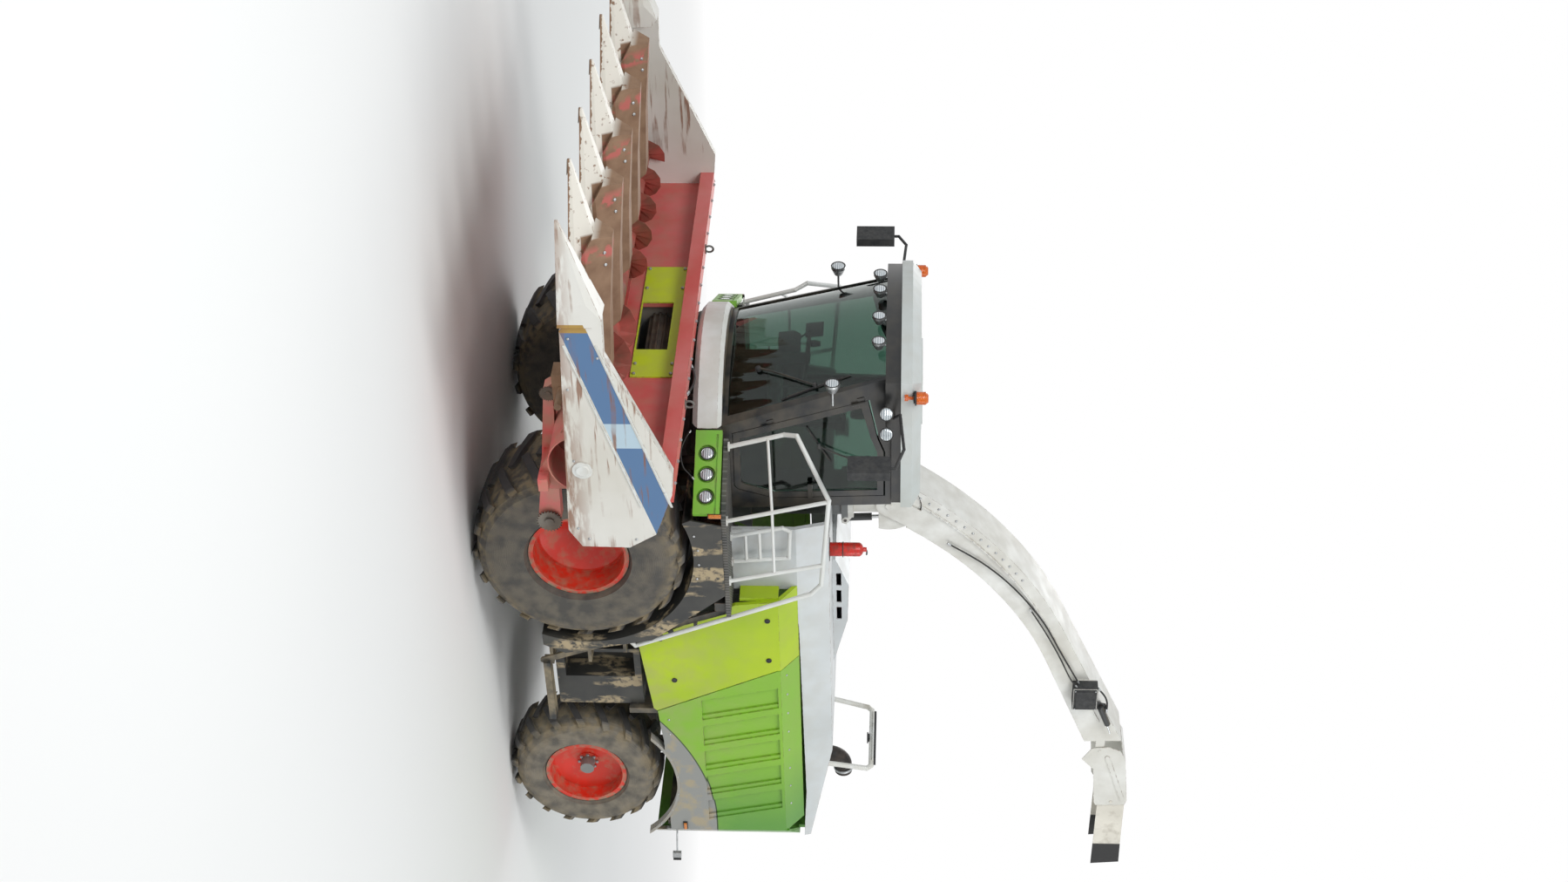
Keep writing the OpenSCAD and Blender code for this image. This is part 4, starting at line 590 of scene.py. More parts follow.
def arched_side_enamel(name, light, dark):
    """Green side sheet: light in front, darker behind as painted shade, and a grey moulding under the arc
    with a painted shadow line along it.
    """
    mat = enamel(name, light, light, (1.2, 2.6), 0.4)
    x, y, z = place_on(mat)
    green = mat.node_tree.nodes["Principled BSDF"].inputs["Base Color"].links[0].from_socket
    # Painted shade: the green turns darker toward the back of the machine
    green = layer(mat, combine(mat, ramp(mat, x, *SHADE_X), patches(mat, 900, 0.2, 0.5), 0.8), green, dark)
    radius = distance_across(mat, *ARC_CENTRE)
    face = ramp(mat, size_of(mat, y), SIDE_FACE_Y, SIDE_FACE_Y + 0.005)
    # Painted shadow: a dark line just outside the arc, where the green sheet overlaps the grey moulding
    overlap_shadow = combine(mat, ramp(mat, radius, ARC_RADIUS + 0.012, ARC_RADIUS + 0.010), face, 0.9)
    moulding = combine(mat, ramp(mat, radius, ARC_RADIUS, ARC_RADIUS - 0.003), face)
    grey = layer(mat, patches(mat, 160, 0.5, 0.62), "#8f908c", "#a39880")
    coat(mat, Base_Color=layer(mat, moulding, layer(mat, overlap_shadow, green, "#1f2a1c"), grey))


two_tone("hoop_enamel_and_pad", "#e4e6e3", "#232425", "Z", 3.408, 3.411)
two_tone("flap_enamel_and_rubber", "#e2ddd0", "#2a2a2a", "X", -5.06 + AXLE_X, -5.075 + AXLE_X)
arched_side_enamel("arched_side_enamel", "#83b62f", "#4c8a38")
print("two-tone finishes ready")

# %% Dress the CAD nodes
DRESS = {
    "frame_black_enamel": "main_frame rear_axle_beam cab_base lift_barrels spout_cylinder_barrel "
                          "steering_knuckle_left steering_knuckle_right tie_rod ladder",
    "cast_iron_paint": "front_axle engine_block",
    "drum_housing_grey": "crop_tower feeder_housing",
    "light_grey_enamel": "engine_hood side_walls",
    "arched_side_enamel": "louvre_panels rear_panel",
    "lime_green_enamel": "service_panels",
    "lamp_panel_green": "lamp_panels",
    "fender_grey_enamel": "rear_fenders",
    "muddy_fender_black": "front_fenders",
    "locker_black": "side_lockers",
    "checker_plate_steel": "walkways",
    "white_enamel": "front_bumper railings",
    "die_cast_aluminium": "work_lamps",
    "orange_acrylic": "beacons",
    "cab_black_enamel": "cab_frame cab_door roof_visor",
    "roof_grey_enamel": "cab_roof",
    "green_tinted_glass": "cab_glass door_glass",
    "moulded_black_plastic": "steering_console mirrors",
    "hoop_enamel_and_pad": "spout_rest",
    "heat_stained_steel": "exhaust_stack",
    "front_rim_enamel": "front_rim_left front_rim_right",
    "front_tyre_rubber": "front_tyre_left front_tyre_right",
    "rear_rim_enamel": "rear_rim_left rear_rim_right",
    "rear_tyre_rubber": "rear_tyre_left rear_tyre_right",
    "header_red_enamel": "header_frame",
    "adapter_lime_enamel": "adapter_plate",
    "end_panel_enamel": "header_end_panels",
    "row_steel": "row_units",
    "worn_snout_enamel": "crop_dividers",
    "auger_steel": "header_auger",
    "roll_steel": "feed_roll_upper feed_roll_lower",
    "hard_chrome": "lift_rods spout_cylinder_rod",
    "spout_white_enamel": "spout_turret crop_spout spout_deflector",
    "flap_enamel_and_rubber": "spout_end_flap",
}
for finish_name, node_names in DRESS.items():
    for node_name in node_names.split():
        for slot in cad[node_name].material_slots:
            slot.material = finish[finish_name]
bare = set(cad) - {name for names in DRESS.values() for name in names.split()}
print("CAD nodes still to be replaced:", sorted(bare))

# %% [markdown]
# ## Helpers for modelling by hand
#
# An operator acts on everything that is selected, so each piece starts by deselecting all.
# Places are written as on the work drawings: in millimetres, measured forward, left and up
# from the middle of the front axle. Small pieces start at the origin in metres and are set
# in their place when they are finished. A finished piece has its place in its mesh, so that
# it can be exported just like a CAD node.

# %% Places, selection and finishing
SIDES = ((1, "left"), (-1, "right"))
patterns = []


def mm(x, y, z):
    """A place in mm from the front axle, as metres in the scene."""
    return Vector((x / 1000 + AXLE_X, y / 1000, z / 1000))


def way(*places):
    """Several such places."""
    return [mm(*place) for place in places]


def begin():
    """Back to object mode with nothing selected."""
    if bpy.context.object and bpy.context.object.mode != "OBJECT":
        bpy.ops.object.mode_set(mode="OBJECT")
    bpy.ops.object.select_all(action="DESELECT")


def only(piece):
    """This piece alone selected and active."""
    begin()
    piece.select_set(True)
    bpy.context.view_layer.objects.active = piece


def cylinder(sides, radius, depth, at=(0, 0, 0)):
    """A cylinder to shape further."""
    begin()
    bpy.ops.mesh.primitive_cylinder_add(vertices=sides, radius=radius, depth=depth, location=at)


def block(wide, prism_shade, high, at=(0, 0, 0)):
    """A block to shape further."""
    begin()
    bpy.ops.mesh.primitive_cube_add(size=1, location=at)
    bpy.context.object.scale = (wide, prism_shade, high)
    bpy.ops.object.transform_apply(location=False, rotation=False, scale=True)
    return bpy.context.object


def stretched_ring(around, across, radius, thick, *factors):
    """A ring to shape further, stretched by these factors in x, y and z."""
    begin()
    bpy.ops.mesh.primitive_torus_add(major_segments=around, minor_segments=across,
                                     major_radius=radius, minor_radius=thick)
    stretch(*factors)


def pick_faces(test):
    """Edit mode with just the faces selected whose centre and normal pass the test."""
    piece = bpy.context.object
    if piece.mode != "EDIT":
        bpy.ops.object.mode_set(mode="EDIT")
    bpy.ops.mesh.select_mode(type="FACE")
    bpy.ops.mesh.select_all(action="DESELECT")
    bpy.ops.object.mode_set(mode="OBJECT")
    for face in piece.data.polygons:
        face.select = bool(test(face.center, face.normal))
    bpy.ops.object.mode_set(mode="EDIT")


def up(centre, normal):
    """Picks what looks up."""
    return normal.z > 0.9


def ends(centre, normal):
    """Picks what looks up or down."""
    return abs(normal.z) > 0.9


def inset(*steps):
    """Insets the picked faces once for each pair of inward and outward in metres."""
    for inward, outward in steps:
        bpy.ops.mesh.inset(thickness=inward, depth=outward)


def push(x, y, z):
    """Extrudes the picked faces by this much in metres."""
    bpy.ops.mesh.extrude_region_move(TRANSFORM_OT_translate={"value": (x, y, z)})


def stretch(*factors):
    """Scales the whole active mesh about its middle."""
    bpy.ops.object.mode_set(mode="EDIT")
    bpy.ops.mesh.select_all(action="SELECT")
    bpy.ops.transform.resize(value=factors)


def cut_up(cuts):
    """Divides every face of the active piece, and gives its points to be moved one by one."""
    bpy.ops.object.mode_set(mode="EDIT")
    bpy.ops.mesh.select_all(action="SELECT")
    bpy.ops.mesh.subdivide(number_cuts=cuts)
    bpy.ops.object.mode_set(mode="OBJECT")
    return bpy.context.object.data.vertices


def apply_modifier(kind, **settings):
    """Adds a modifier to the active piece, sets it and applies it."""
    bpy.ops.object.modifier_add(type=kind)
    modifier = bpy.context.object.modifiers[-1]
    for key, value in settings.items():
        setattr(modifier, key, value)
    bpy.ops.object.modifier_apply(modifier=modifier.name)


def finished(name, surface, body=None, bevel_mm=0, angle=35, at=None):
    """Softened edges, smooth shading, finish, place in the mesh, and the body that it rides on."""
    piece = bpy.context.object
    only(piece)
    piece.name = piece.data.name = name
    bpy.ops.object.transform_apply(location=True, rotation=True, scale=True)
    if bevel_mm:
        apply_modifier("BEVEL", width=bevel_mm / 1000, segments=2, limit_method="ANGLE")
    bpy.ops.object.shade_smooth_by_angle(angle=math.radians(angle))
    piece.data.materials.clear()
    piece.data.materials.append(finish[surface])
    if at is not None:
        piece.data.transform(at)
    if body:
        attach(piece, body)
    return piece


def pattern(name, surface, **finishing):
    """A finished piece at the origin that is only there to be copied."""
    patterns.append(finished(name + "_pattern", surface, **finishing))
    return patterns[-1]


def plate_from(outline, thick):
    """A flat outline of places, filled and extruded by a step in metres."""
    mesh = bpy.data.meshes.new("plate")
    mesh.from_pydata([tuple(p) for p in outline], [], [list(range(len(outline)))])
    piece = bpy.data.objects.new("plate", mesh)
    bpy.context.scene.collection.objects.link(piece)
    only(piece)
    bpy.ops.object.mode_set(mode="EDIT")
    bpy.ops.mesh.select_all(action="SELECT")
    push(*thick)
    bpy.ops.mesh.select_all(action="SELECT")
    bpy.ops.mesh.normals_make_consistent(inside=False)
    bpy.ops.object.mode_set(mode="OBJECT")


def plate(axis, level, outline, thick):
    """A plate square to an axis, in mm: its level there, its outline in the other two axes,
    and its thickness."""
    across = "xyz".index(axis)
    places = [mm(*pair[:across], level, *pair[across:]) for pair in outline]
    plate_from(places, [thick / 1000 if i == across else 0 for i in range(3)])


def rect(a0, a1, b0, b1):
    """The outline of a rectangle."""
    return [(a0, b0), (a1, b0), (a1, b1), (a0, b1)]


def round_curve(name, places, thick, resolution=4, smooth=False):
    """A curve through these places with a round section of this thickness in metres."""
    curve = bpy.data.curves.new(name, "CURVE")
    curve.dimensions, curve.use_fill_caps = "3D", True
    curve.bevel_depth, curve.bevel_resolution = thick / 2, resolution
    spline = curve.splines.new("NURBS" if smooth else "POLY")
    spline.points.add(len(places) - 1)
    for point, place in zip(spline.points, places):
        point.co = (*place, 1)
    if smooth:
        spline.use_endpoint_u, spline.order_u, spline.resolution_u = True, min(4, len(places)), 6
    piece = bpy.data.objects.new(name, curve)
    bpy.context.scene.collection.objects.link(piece)
    return piece


def bar(name, surface, places, thick_mm, resolution=4, smooth=True):
    """A finished round bar through these places: the curve made a mesh."""
    only(round_curve(name, places, thick_mm / 1000, resolution, smooth))
    bpy.ops.object.convert(target="MESH")
    return finished(name, surface)


def stand(place, toward, roll=0, size=1):
    """Where a piece from the origin stands: its own +Z points this way."""
    turn = Vector(toward).normalized().to_track_quat("Z", "Y").to_matrix().to_4x4()
    return Matrix.Translation(place) @ turn @ Matrix.Rotation(roll, 4, "Z") @ Matrix.Scale(size, 4)


def joined(name, pieces, body):
    """Several pieces, of one finish or more, as one object."""
    begin()
    for piece in pieces:
        piece.select_set(True)
    bpy.context.view_layer.objects.active = pieces[0]
    bpy.ops.object.join()
    piece = bpy.context.object
    piece.name = piece.data.name = name
    bpy.ops.object.transform_apply(location=True, rotation=True, scale=True)
    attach(piece, body)
    return piece


def copies(original, name, places, body):
    """The pattern copied to each place, each copy with its own mesh, then joined as one piece."""
    pieces = []
    for place in places:
        one = original.copy()
        one.data = original.data.copy()
        bpy.context.scene.collection.objects.link(one)
        one.matrix_world = place
        pieces.append(one)
    joined(name, pieces[::-1], body)


def touch(node, start, toward):
    """Where a ray from this place meets a CAD node, and the surface's normal there."""
    met, place, normal, _ = cad[node].ray_cast(start, Vector(toward).normalized())
    if not met:
        raise ValueError("no surface of " + node + " there")
    return place, normal


print("helpers ready")

# %% [markdown]
# ## Wheel nuts
#
# Each rim is clamped to its hub by a ring of studs with hexagonal nuts. A nut starts as a
# cylinder of six sides. Its outer face is inset and raised to give the turned chamfer, and
# the stud is extruded out of the middle of that face.

# %% Hexagon nut on its stud
cylinder(6, 0.5, 0.42, (0, 0, 0.21))
pick_faces(up)
inset((0.06, 0.05), (0.17, 0.0))
push(0, 0, 0.16)
inset((0.03, 0.03))
nut = pattern("nut", "die_cast_aluminium")

# For each axle: radius of the ring and where its face is, in metres, nuts, and their size
NUTS = {"front": (0.105, 1.204, 10, 0.034), "rear": (0.085, 1.124, 8, 0.030)}
for axle, (radius, face, count, size) in NUTS.items():
    wheel = WHEELS[axle]
    for side, word in SIDES:
        spots = []
        for a in [math.tau * i / count for i in range(count)]:
            spot = Vector((wheel["x"] + radius * math.cos(a), side * face, wheel["z"] + radius * math.sin(a)))
            spots.append(stand(spot, (0, side, 0), a, size))
        copies(nut, "wheel_nuts_" + axle + "_" + word, spots, axle + "_wheel_" + word)
print("nuts a wheel:", {axle: row[2] for axle, row in NUTS.items()})

# %% [markdown]
# ## Lamp glasses
#
# Every work lamp has a fluted glass held by a black rubber ring. The glass is a disc whose
# front is inset four times, each time a little higher, until it is a shallow dome. The ring
# is a torus pressed flat. Both are modelled at a diameter of one metre and copied to size.

# %% Domed glass and rubber ring for each lamp
cylinder(32, 0.43, 0.03, (0, 0, -0.035))
pick_faces(up)
inset((0.04, 0.03), (0.09, 0.025), (0.12, 0.015), (0.1, 0.005))
lamp_glass = pattern("glass", "fluted_lamp_glass", angle=50)
stretched_ring(32, 8, 0.47, 0.04, 1, 1, 0.7)
lamp_ring = pattern("ring", "hose_rubber", angle=60)

lamps = []
for side, _ in SIDES:
    # Three in each slanting lamp panel
    panel_run = Vector((500 - 880, 650 * side, 0)).normalized()
    facing = Vector((650, 380 * side, 0)).normalized()
    for along in (210, 400, 600):
        lamps.append((mm(880, 950 * side, 2030) + panel_run * along / 1000 - facing * 0.0015, facing, 0.116))
    # Two under the front of the roof, two round its corner, and one on the cab's post
    for x, y in ((1550, 200), (1505, 500)):
        lamps.append((mm(x, y * side, 3468), Vector((1, 0, 0)), 0.120))
    for x, turn in ((1070, 50), (870, 60)):
        out = Vector((math.cos(math.radians(turn)), math.sin(math.radians(turn)) * side, 0))
        lamps.append((mm(x, 960 * side, 3540) + out * 0.08, out, 0.120))
    lamps.append((mm(1328, 868 * side, 3085), Vector((1, 0, 0)), 0.130))
for original, name in ((lamp_glass, "work_lamp_glasses"), (lamp_ring, "work_lamp_rings")):
    copies(original, name, [stand(spot, out, 0, size) for spot, out, size in lamps], "chassis")
print("lamps with glass:", len(lamps))

# %% [markdown]
# ## Beacon feet, tail lamp lenses and side markers
#
# A beacon stands on a stepped black foot, turned from one cylinder by insetting its
# underside. Tail lamps and markers are boxes of coloured acrylic in a black tray: the
# tray's front is sunk, and the lens is a second box with a crowned front.

# %% Beacon feet
cylinder(32, 0.062, 0.014, (0, 0, 0.007))
pick_faces(lambda centre, normal: normal.z < -0.9)
inset((0.016, 0.0))
push(0, 0, -0.012)
inset((0.014, 0.0))
foot = pattern("beacon_foot", "moulded_black_plastic", bevel_mm=1.5)
copies(foot, "beacon_feet", [Matrix.Translation(mm(1227, 936 * side, 3776)) for side, _ in SIDES], "chassis")

# %% Marker lamp: tray and crowned lens
TRAY_RIM_MM = 6


def marker(name, place, facing, wide, high, lens_finish):
    """A tray and its lens, wide by high in mm, on a surface that faces this way."""
    at = stand(place, facing)
    block(wide / 1000, high / 1000, 0.016, (0, 0, 0.008))
    pick_faces(up)
    inset((0.005, 0.0))
    push(0, 0, -0.005)
    tray = finished(name + "_tray", "moulded_black_plastic", bevel_mm=1, at=at)
    block((wide - 2 * TRAY_RIM_MM) / 1000, (high - 2 * TRAY_RIM_MM) / 1000, 0.014, (0, 0, 0.016))
    pick_faces(up)
    inset((min(wide, high) * 0.12 / 1000, 0.005), (min(wide, high) * 0.16 / 1000, 0.002))
    lens = finished(name + "_lens", lens_finish, bevel_mm=1, at=at)
    joined(name, [tray, lens], "chassis")


for side, word in SIDES:
    marker("tail_lamp_" + word, mm(-3995, 1420 * side, 1540), (-1, 0, 0), 60, 76, "red_lens")
    place, normal = touch("louvre_panels", mm(-3560, 1600 * side, 1640), (0, -side, 0))
    marker("side_marker_" + word, place, normal, 90, 40, "amber_lens")
    marker("walkway_marker_" + word, mm(470, 1590 * side, 2110), (0.35, side, 0), 46, 120, "amber_lens")
print("markers placed")

# %% [markdown]
# ## The driver's seat
#
# The cushion and the back rest are foam under woven cloth: crowned in the middle, pulled in
# at the seams, and tight at the edges. A block is shaped first, then remeshed to small even
# faces and blown up a little by a cloth simulation. How far a point may move is capped, and
# one subdivision smooths the result. The shell and the arm rests are hard black plastic,
# and the seat stands on rubber bellows.

# %% Padded cushions by cloth simulation
EDGE_SHARE = 0.72  # how thick a cushion's edge is beside its middle
BLOWN, CLOTH_FRAMES, FARTHEST = 4.0, 20, 0.018
CHANNEL_DEEP, CHANNEL_HALF = 0.007, 0.008


def cushion(name, low, high, lean, sewn):
    """A padded block between two corners, leaning back by some degrees; sewn lists its channels,
    each by the axis that it lies across and the place on that axis."""
    half = (high - low) / 2
    pad = block(*(high - low))
    thin = min(range(3), key=lambda i: half[i])
    others = [i for i in range(3) if i != thin]
    for point in cut_up(7):
        u, v = (point.co[i] / half[i] for i in others)
        point.co[thin] *= EDGE_SHARE + (1 - EDGE_SHARE) * (1 - u ** 4) * (1 - v ** 4)
        for i, w in zip(others, (v, u)):
            point.co[i] *= 1 - 0.05 * w ** 4
    apply_modifier("BEVEL", width=0.022, segments=3)
    apply_modifier("REMESH", mode="VOXEL", voxel_size=0.008)
    start = [point.co.copy() for point in pad.data.vertices]
    bpy.ops.object.modifier_add(type="CLOTH")
    cloth_run = pad.modifiers[-1]
    cloth_run.settings.use_pressure = True
    cloth_run.settings.uniform_pressure_force = BLOWN
    cloth_run.settings.effector_weights.gravity = 0
    cloth_run.point_cache.frame_start, cloth_run.point_cache.frame_end = 1, CLOTH_FRAMES
    for frame_number in range(1, CLOTH_FRAMES + 1):
        bpy.context.scene.frame_set(frame_number)
    only(pad)
    bpy.ops.object.modifier_apply(modifier=cloth_run.name)
    bpy.context.scene.frame_set(1)
    for point, was in zip(pad.data.vertices, start):
        moved = point.co - was
        if moved.length > FARTHEST:
            point.co = was + moved.normalized() * FARTHEST
    most = max((point.co - was).length for point, was in zip(pad.data.vertices, start))
    for axis, at in sewn:
        for point in pad.data.vertices:
            near = math.exp(-((point.co[axis] - at) / CHANNEL_HALF) ** 2)
            point.co[thin] -= math.copysign(CHANNEL_DEEP * near, point.co[thin])
    apply_modifier("SUBSURF", levels=1, render_levels=1)
    bpy.ops.object.shade_smooth()
    middle = Vector([(l + h) / 2 for l, h in zip(low, high)])
    pad.data.transform(Matrix.Translation(middle) @ Matrix.Rotation(math.radians(lean), 4, "Y"))
    pad.name = pad.data.name = name
    pad.data.materials.append(finish["woven_seat_polyester"])
    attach(pad, "chassis")
    print(name, "blown up by at most", round(most, 4), "m, faces", len(pad.data.polygons))
    return pad


seat_cushion = cushion("seat_cushion", mm(425, -235, 2494), mm(865, 235, 2592), 0, [(1, 0.130), (1, -0.130)])
cushion("seat_back_cushion", mm(385, -225, 2620), mm(465, 225, 3165), -4.9,
        [(1, 0.120), (1, -0.120), (2, 0.06)])
cushion("seat_head_rest", mm(352, -130, 3205), mm(412, 130, 3345), -4.0, [])
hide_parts("operator_seat")

# %% Bellows under the seat, its pan and its shell
BELLOWS_HIGH, FOLDS = 0.330, 7
block(0.320, 0.350, BELLOWS_HIGH, mm(595, 0, 2310))
for point in cut_up(FOLDS - 1):
    fold = round((point.co.z + BELLOWS_HIGH / 2) / BELLOWS_HIGH * FOLDS)
    pinch = 1 - 0.07 * (fold % 2)
    point.co.x *= pinch
    point.co.y *= pinch
finished("seat_bellows", "hose_rubber", "chassis", bevel_mm=4, angle=50)

plate("z", 2478, rect(405, 878, -255, 255), 12)
pick_faces(up)
inset((0.012, 0.0))
push(0, 0, -0.006)
finished("seat_pan", "moulded_black_plastic", "chassis", bevel_mm=3)
plate_from(way((368, -235, 2600), (384, -235, 2600), (336, -225, 3170), (322, -225, 3170)), (0, 0.462, 0))
finished("seat_back_shell", "moulded_black_plastic", "chassis", bevel_mm=5)
stalks = [way((372, y, 3130), (378, y, 3170), (380, y, 3215)) for y in (-60, 60)]
joined("head_rest_stalks", [bar("stalk", "hard_chrome", stalk, 12) for stalk in stalks], "chassis")

# %% Arm rests on their posts
ARM = [(440, 2742), (752, 2742), (762, 2764), (750, 2788), (452, 2788), (438, 2766)]
POST = [(445, 2575), (492, 2575), (500, 2660), (488, 2745), (450, 2745)]
arms = []
for side, _ in SIDES:
    for outline, thick, soft in ((ARM, 66, 8), (POST, 34, 4)):
        plate("y", 262 * side, outline, thick * side)
        arms.append(finished("arm", "moulded_black_plastic", bevel_mm=soft))
joined("seat_arm_rests", arms, "chassis")
print("seat ready")

# %% [markdown]
# ## Controls in the cab
#
# The driving lever and a dark screen stand on the arm rest console. The lever is a stick
# with a shaped grip: a short cylinder whose rings are scaled to fit a hand. The screen is a
# thin case with soft edges on a bent neck, left blank.

# %% Driving lever and blank screen
GRIP_LONG = 0.13
cylinder(20, 0.02, GRIP_LONG, mm(800, -405, 2870))
for point in cut_up(5):
    share = (point.co.z + GRIP_LONG / 2) / GRIP_LONG
    swell = 0.8 + 0.55 * math.sin(math.pi * share) ** 2 + 0.35 * share
    point.co.x *= swell * 1.2
    point.co.y *= swell * 0.8
grip = finished("grip", "moulded_black_plastic", bevel_mm=3, angle=60)
stick = bar("stick", "hard_chrome", way((800, -405, 2748), (803, -405, 2780), (800, -405, 2812)), 16)
joined("driving_lever", [grip, stick], "chassis")

face = way((850, -420, 2800), (850, -620, 2800), (872, -620, 2960), (872, -420, 2960))
plate_from(face, (0.022, 0, -0.003))
screen = finished("screen_case", "moulded_black_plastic", bevel_mm=4)
bend = way((840, -430, 2745), (862, -455, 2790), (880, -500, 2840))
neck = bar("screen_neck", "moulded_black_plastic", bend, 18)
joined("blank_screen", [screen, neck], "chassis")
print("controls ready")

# %% [markdown]
# ## Wipers
#
# The windscreen wiper stands upright at the left pillar and the door has its own, hung from
# above. A wiper is a cranked arm, a clamp and a rubber blade that lies on the glass. Rays
# shot at the CAD glass tell where its surface is, so that the blade follows the curve.

# %% Screen wiper and door wiper
SCREEN_LEAN = math.radians(14.7)
BLADE_SHARES = (0, 0.1, 0.3, 0.5, 0.7, 0.9, 1)


def off_glass(node, spots, away, lift):
    """Places this far off a glass: a ray is shot at it from each spot."""
    return [touch(node, spot, -away)[0] + away * lift for spot in spots]


def wiper(name, node, blade_spots, arm_spots, away, body):
    """A rubber blade under its spine, the arm, a cap on its pivot and a clamp on its other end."""
    along = off_glass(node, blade_spots, away, 0.010)
    reach = off_glass(node, arm_spots, away, 0.034)
    parts = [bar("blade", "hose_rubber", along, 14, 3, smooth=False),
             bar("spine", "cab_black_enamel", [p + away * 0.014 for p in along[1:-1]], 9, 2, smooth=False),
             bar("arm", "cab_black_enamel", reach, 16, 3)]
    cylinder(20, 0.026, 0.036)
    pick_faces(up)
    inset((0.008, 0.006))
    at = stand(reach[0] - away * 0.014, away)
    parts.append(finished("cap", "moulded_black_plastic", bevel_mm=2, at=at))
    block(0.06, 0.024, 0.018, (0, 0, 0.009))
    at = stand(reach[-1] - away * 0.012, away)
    parts.append(finished("clamp", "cab_black_enamel", bevel_mm=2, at=at))
    joined(name, parts, body)


wiper("screen_wiper", "cab_glass", way(*[(1900, 660 + 90 * t, 3060 - 640 * t) for t in BLADE_SHARES]),
      way((1900, 430, 2235), (1900, 520, 2420), (1900, 640, 2620), (1900, 700, 2740)),
      Vector((math.cos(SCREEN_LEAN), 0, -math.sin(SCREEN_LEAN))), "chassis")
wiper("door_wiper", "door_glass", way(*[(475 + 350 * t, 1300, 3060 - 200 * t) for t in BLADE_SHARES]),
      way((470, 1300, 3380), (480, 1300, 3280), (560, 1300, 3120), (650, 1300, 2960)),
      Vector((0, 1, 0)), "door")
print("wipers ready")

# %% [markdown]
# ## Mirror glasses
#
# The mirror cases have a shallow recess. A glass with a bevelled rim is let into it: a thin
# plate whose face is inset and raised.

# %% Mirror glasses
for side, word in SIDES:
    plate("x", 1058, rect(1608 * side, 1792 * side, 3248, 3562), -4)
    pick_faces(lambda centre, normal: normal.x < -0.9)
    inset((0.008, 0.0015))
    finished("mirror_glass_" + word, "silvered_mirror_glass", "chassis")

# %% [markdown]
# ## Latches and panel bolts
#
# The service panels are held by slotted latches, and the louvre panels and the fenders are
# bolted along their upper edges. A latch is a disc with a raised rim and a narrow bar
# across its sunk middle.

# %% Latches and button bolts
cylinder(24, 0.5, 0.16, (0, 0, 0.08))
pick_faces(up)
inset((0.09, 0.0))
push(0, 0, -0.07)
inset((0.22, 0.05))
bpy.ops.transform.resize(value=(1, 0.35, 1))
latch = pattern("latch", "moulded_black_plastic")
cylinder(10, 0.5, 0.14, (0, 0, 0.07))
pick_faces(up)
inset((0.14, 0.12), (0.16, 0.05))
button = pattern("button", "die_cast_aluminium", angle=60)


def on_sides(original, name, node, spots, size):
    """Copies on the outside of a node, on both sides of the machine, at places in x and z."""
    stands = []
    for x, z in spots:
        for side, _ in SIDES:
            place, normal = touch(node, mm(x, 2600 * side, z), (0, -side, 0))
            stands.append(stand(place, normal, 0.4, size))
    copies(original, name, stands, "chassis")


def on_arc(x, z, radius, degrees):
    """Places in x and z along an arc."""
    return [(x + radius * math.cos(math.radians(a)), z + radius * math.sin(math.radians(a))) for a in degrees]


on_sides(latch, "service_panel_latches", "service_panels",
         [(-1040, 1640), (-1640, 1640), (-900, 2500), (-1380, 2500)], 0.05)
on_sides(button, "louvre_panel_bolts", "louvre_panels",
         [(-1620 - 240 * i, 2650) for i in range(8)] + [(-2150, 1560), (-2340, 1560)], 0.022)
on_sides(button, "rear_fender_bolts", "rear_fenders", on_arc(-3000, 720, 885, range(54, 132, 15)), 0.016)
on_sides(button, "front_fender_bolts", "front_fenders", on_arc(0, 925, 1030, range(76, 112, 9)), 0.022)
print("latches and bolts ready")

# %% [markdown]
# ## The spout's bolts, drive and hoses
#
# The wear plates inside the spout are bolted through its side flanges, so a row of grey
# bolts follows each flange. The deflector is moved by a small drive in a black box on the
# left side. From it a rod runs to the deflector, and hoses lie along the spout's flank.

# %% Bolts along the flanges
SPOUT_ARC = (-3671, 1557)  # middle of the arcs that the flanges follow


def on_spout(radius, degrees, y):
    """A place on an arc of the spout, counted from the vertical."""
    a = math.radians(degrees)
    return mm(SPOUT_ARC[0] + radius * math.sin(a), y, SPOUT_ARC[1] + radius * math.cos(a))


bolts = []
for side, _ in SIDES:
    for degrees in [55 - 1.55 * i for i in range(14)]:
        a = math.radians(degrees)
        bolts.append(stand(on_spout(3856, degrees, 207 * side), (math.sin(a), 0, math.cos(a)), 0.5, 0.022))
        bolts.append(stand(on_spout(3920, degrees - 0.6, 200 * side), (0, side, 0), 0.3, 0.026))
copies(button, "spout_flange_bolts", bolts, "spout")
print("bolts on the spout:", len(bolts))

# %% Lid, cover and screws of the drive's box
plate("y", 330, rect(-3004, -2746, 5336, 5554), 10)
pick_faces(lambda centre, normal: normal.y > 0.9)
inset((0.018, 0.0))
push(0, 0.008, 0)
inset((0.012, -0.003))
finished("drive_box_lid", "moulded_black_plastic", "spout", bevel_mm=3)
walls = []
for corners in ((-3012, -2738, 5326, 5330), (-3012, -2738, 5560, 5564),
                (-3014, -3010, 5326, 5564), (-2740, -2736, 5326, 5564)):
    plate("y", 214, rect(*corners), 114)
    walls.append(finished("wall", "moulded_black_plastic", bevel_mm=1))
joined("drive_box_cover", walls, "spout")
screws = [stand(mm(x, 341, z), (0, 1, 0), 0.2, 0.014) for x in (-2992, -2758) for z in (5348, 5542)]
copies(nut, "drive_box_screws", screws, "spout")

# %% Motor, rod and bracket of the drive
cylinder(24, 0.030, 0.24)
pick_faces(ends)
inset((0.008, 0.010))
motor = finished("motor", "frame_black_enamel", bevel_mm=2, at=stand(mm(-3180, 246, 5648), (-0.94, 0, 0.34)))
rod = bar("rod", "hard_chrome", way((-3200, 246, 5655), (-3420, 246, 5720)), 16, smooth=False)
plate("y", 214, [(-3110, 5560), (-3010, 5560), (-3040, 5660), (-3130, 5680)], 6)
bracket = finished("bracket", "frame_black_enamel", bevel_mm=2)
joined("deflector_drive", [motor, rod, bracket], "spout")

# %% Hoses along the spout's left side
HOSE_POINTS = 24


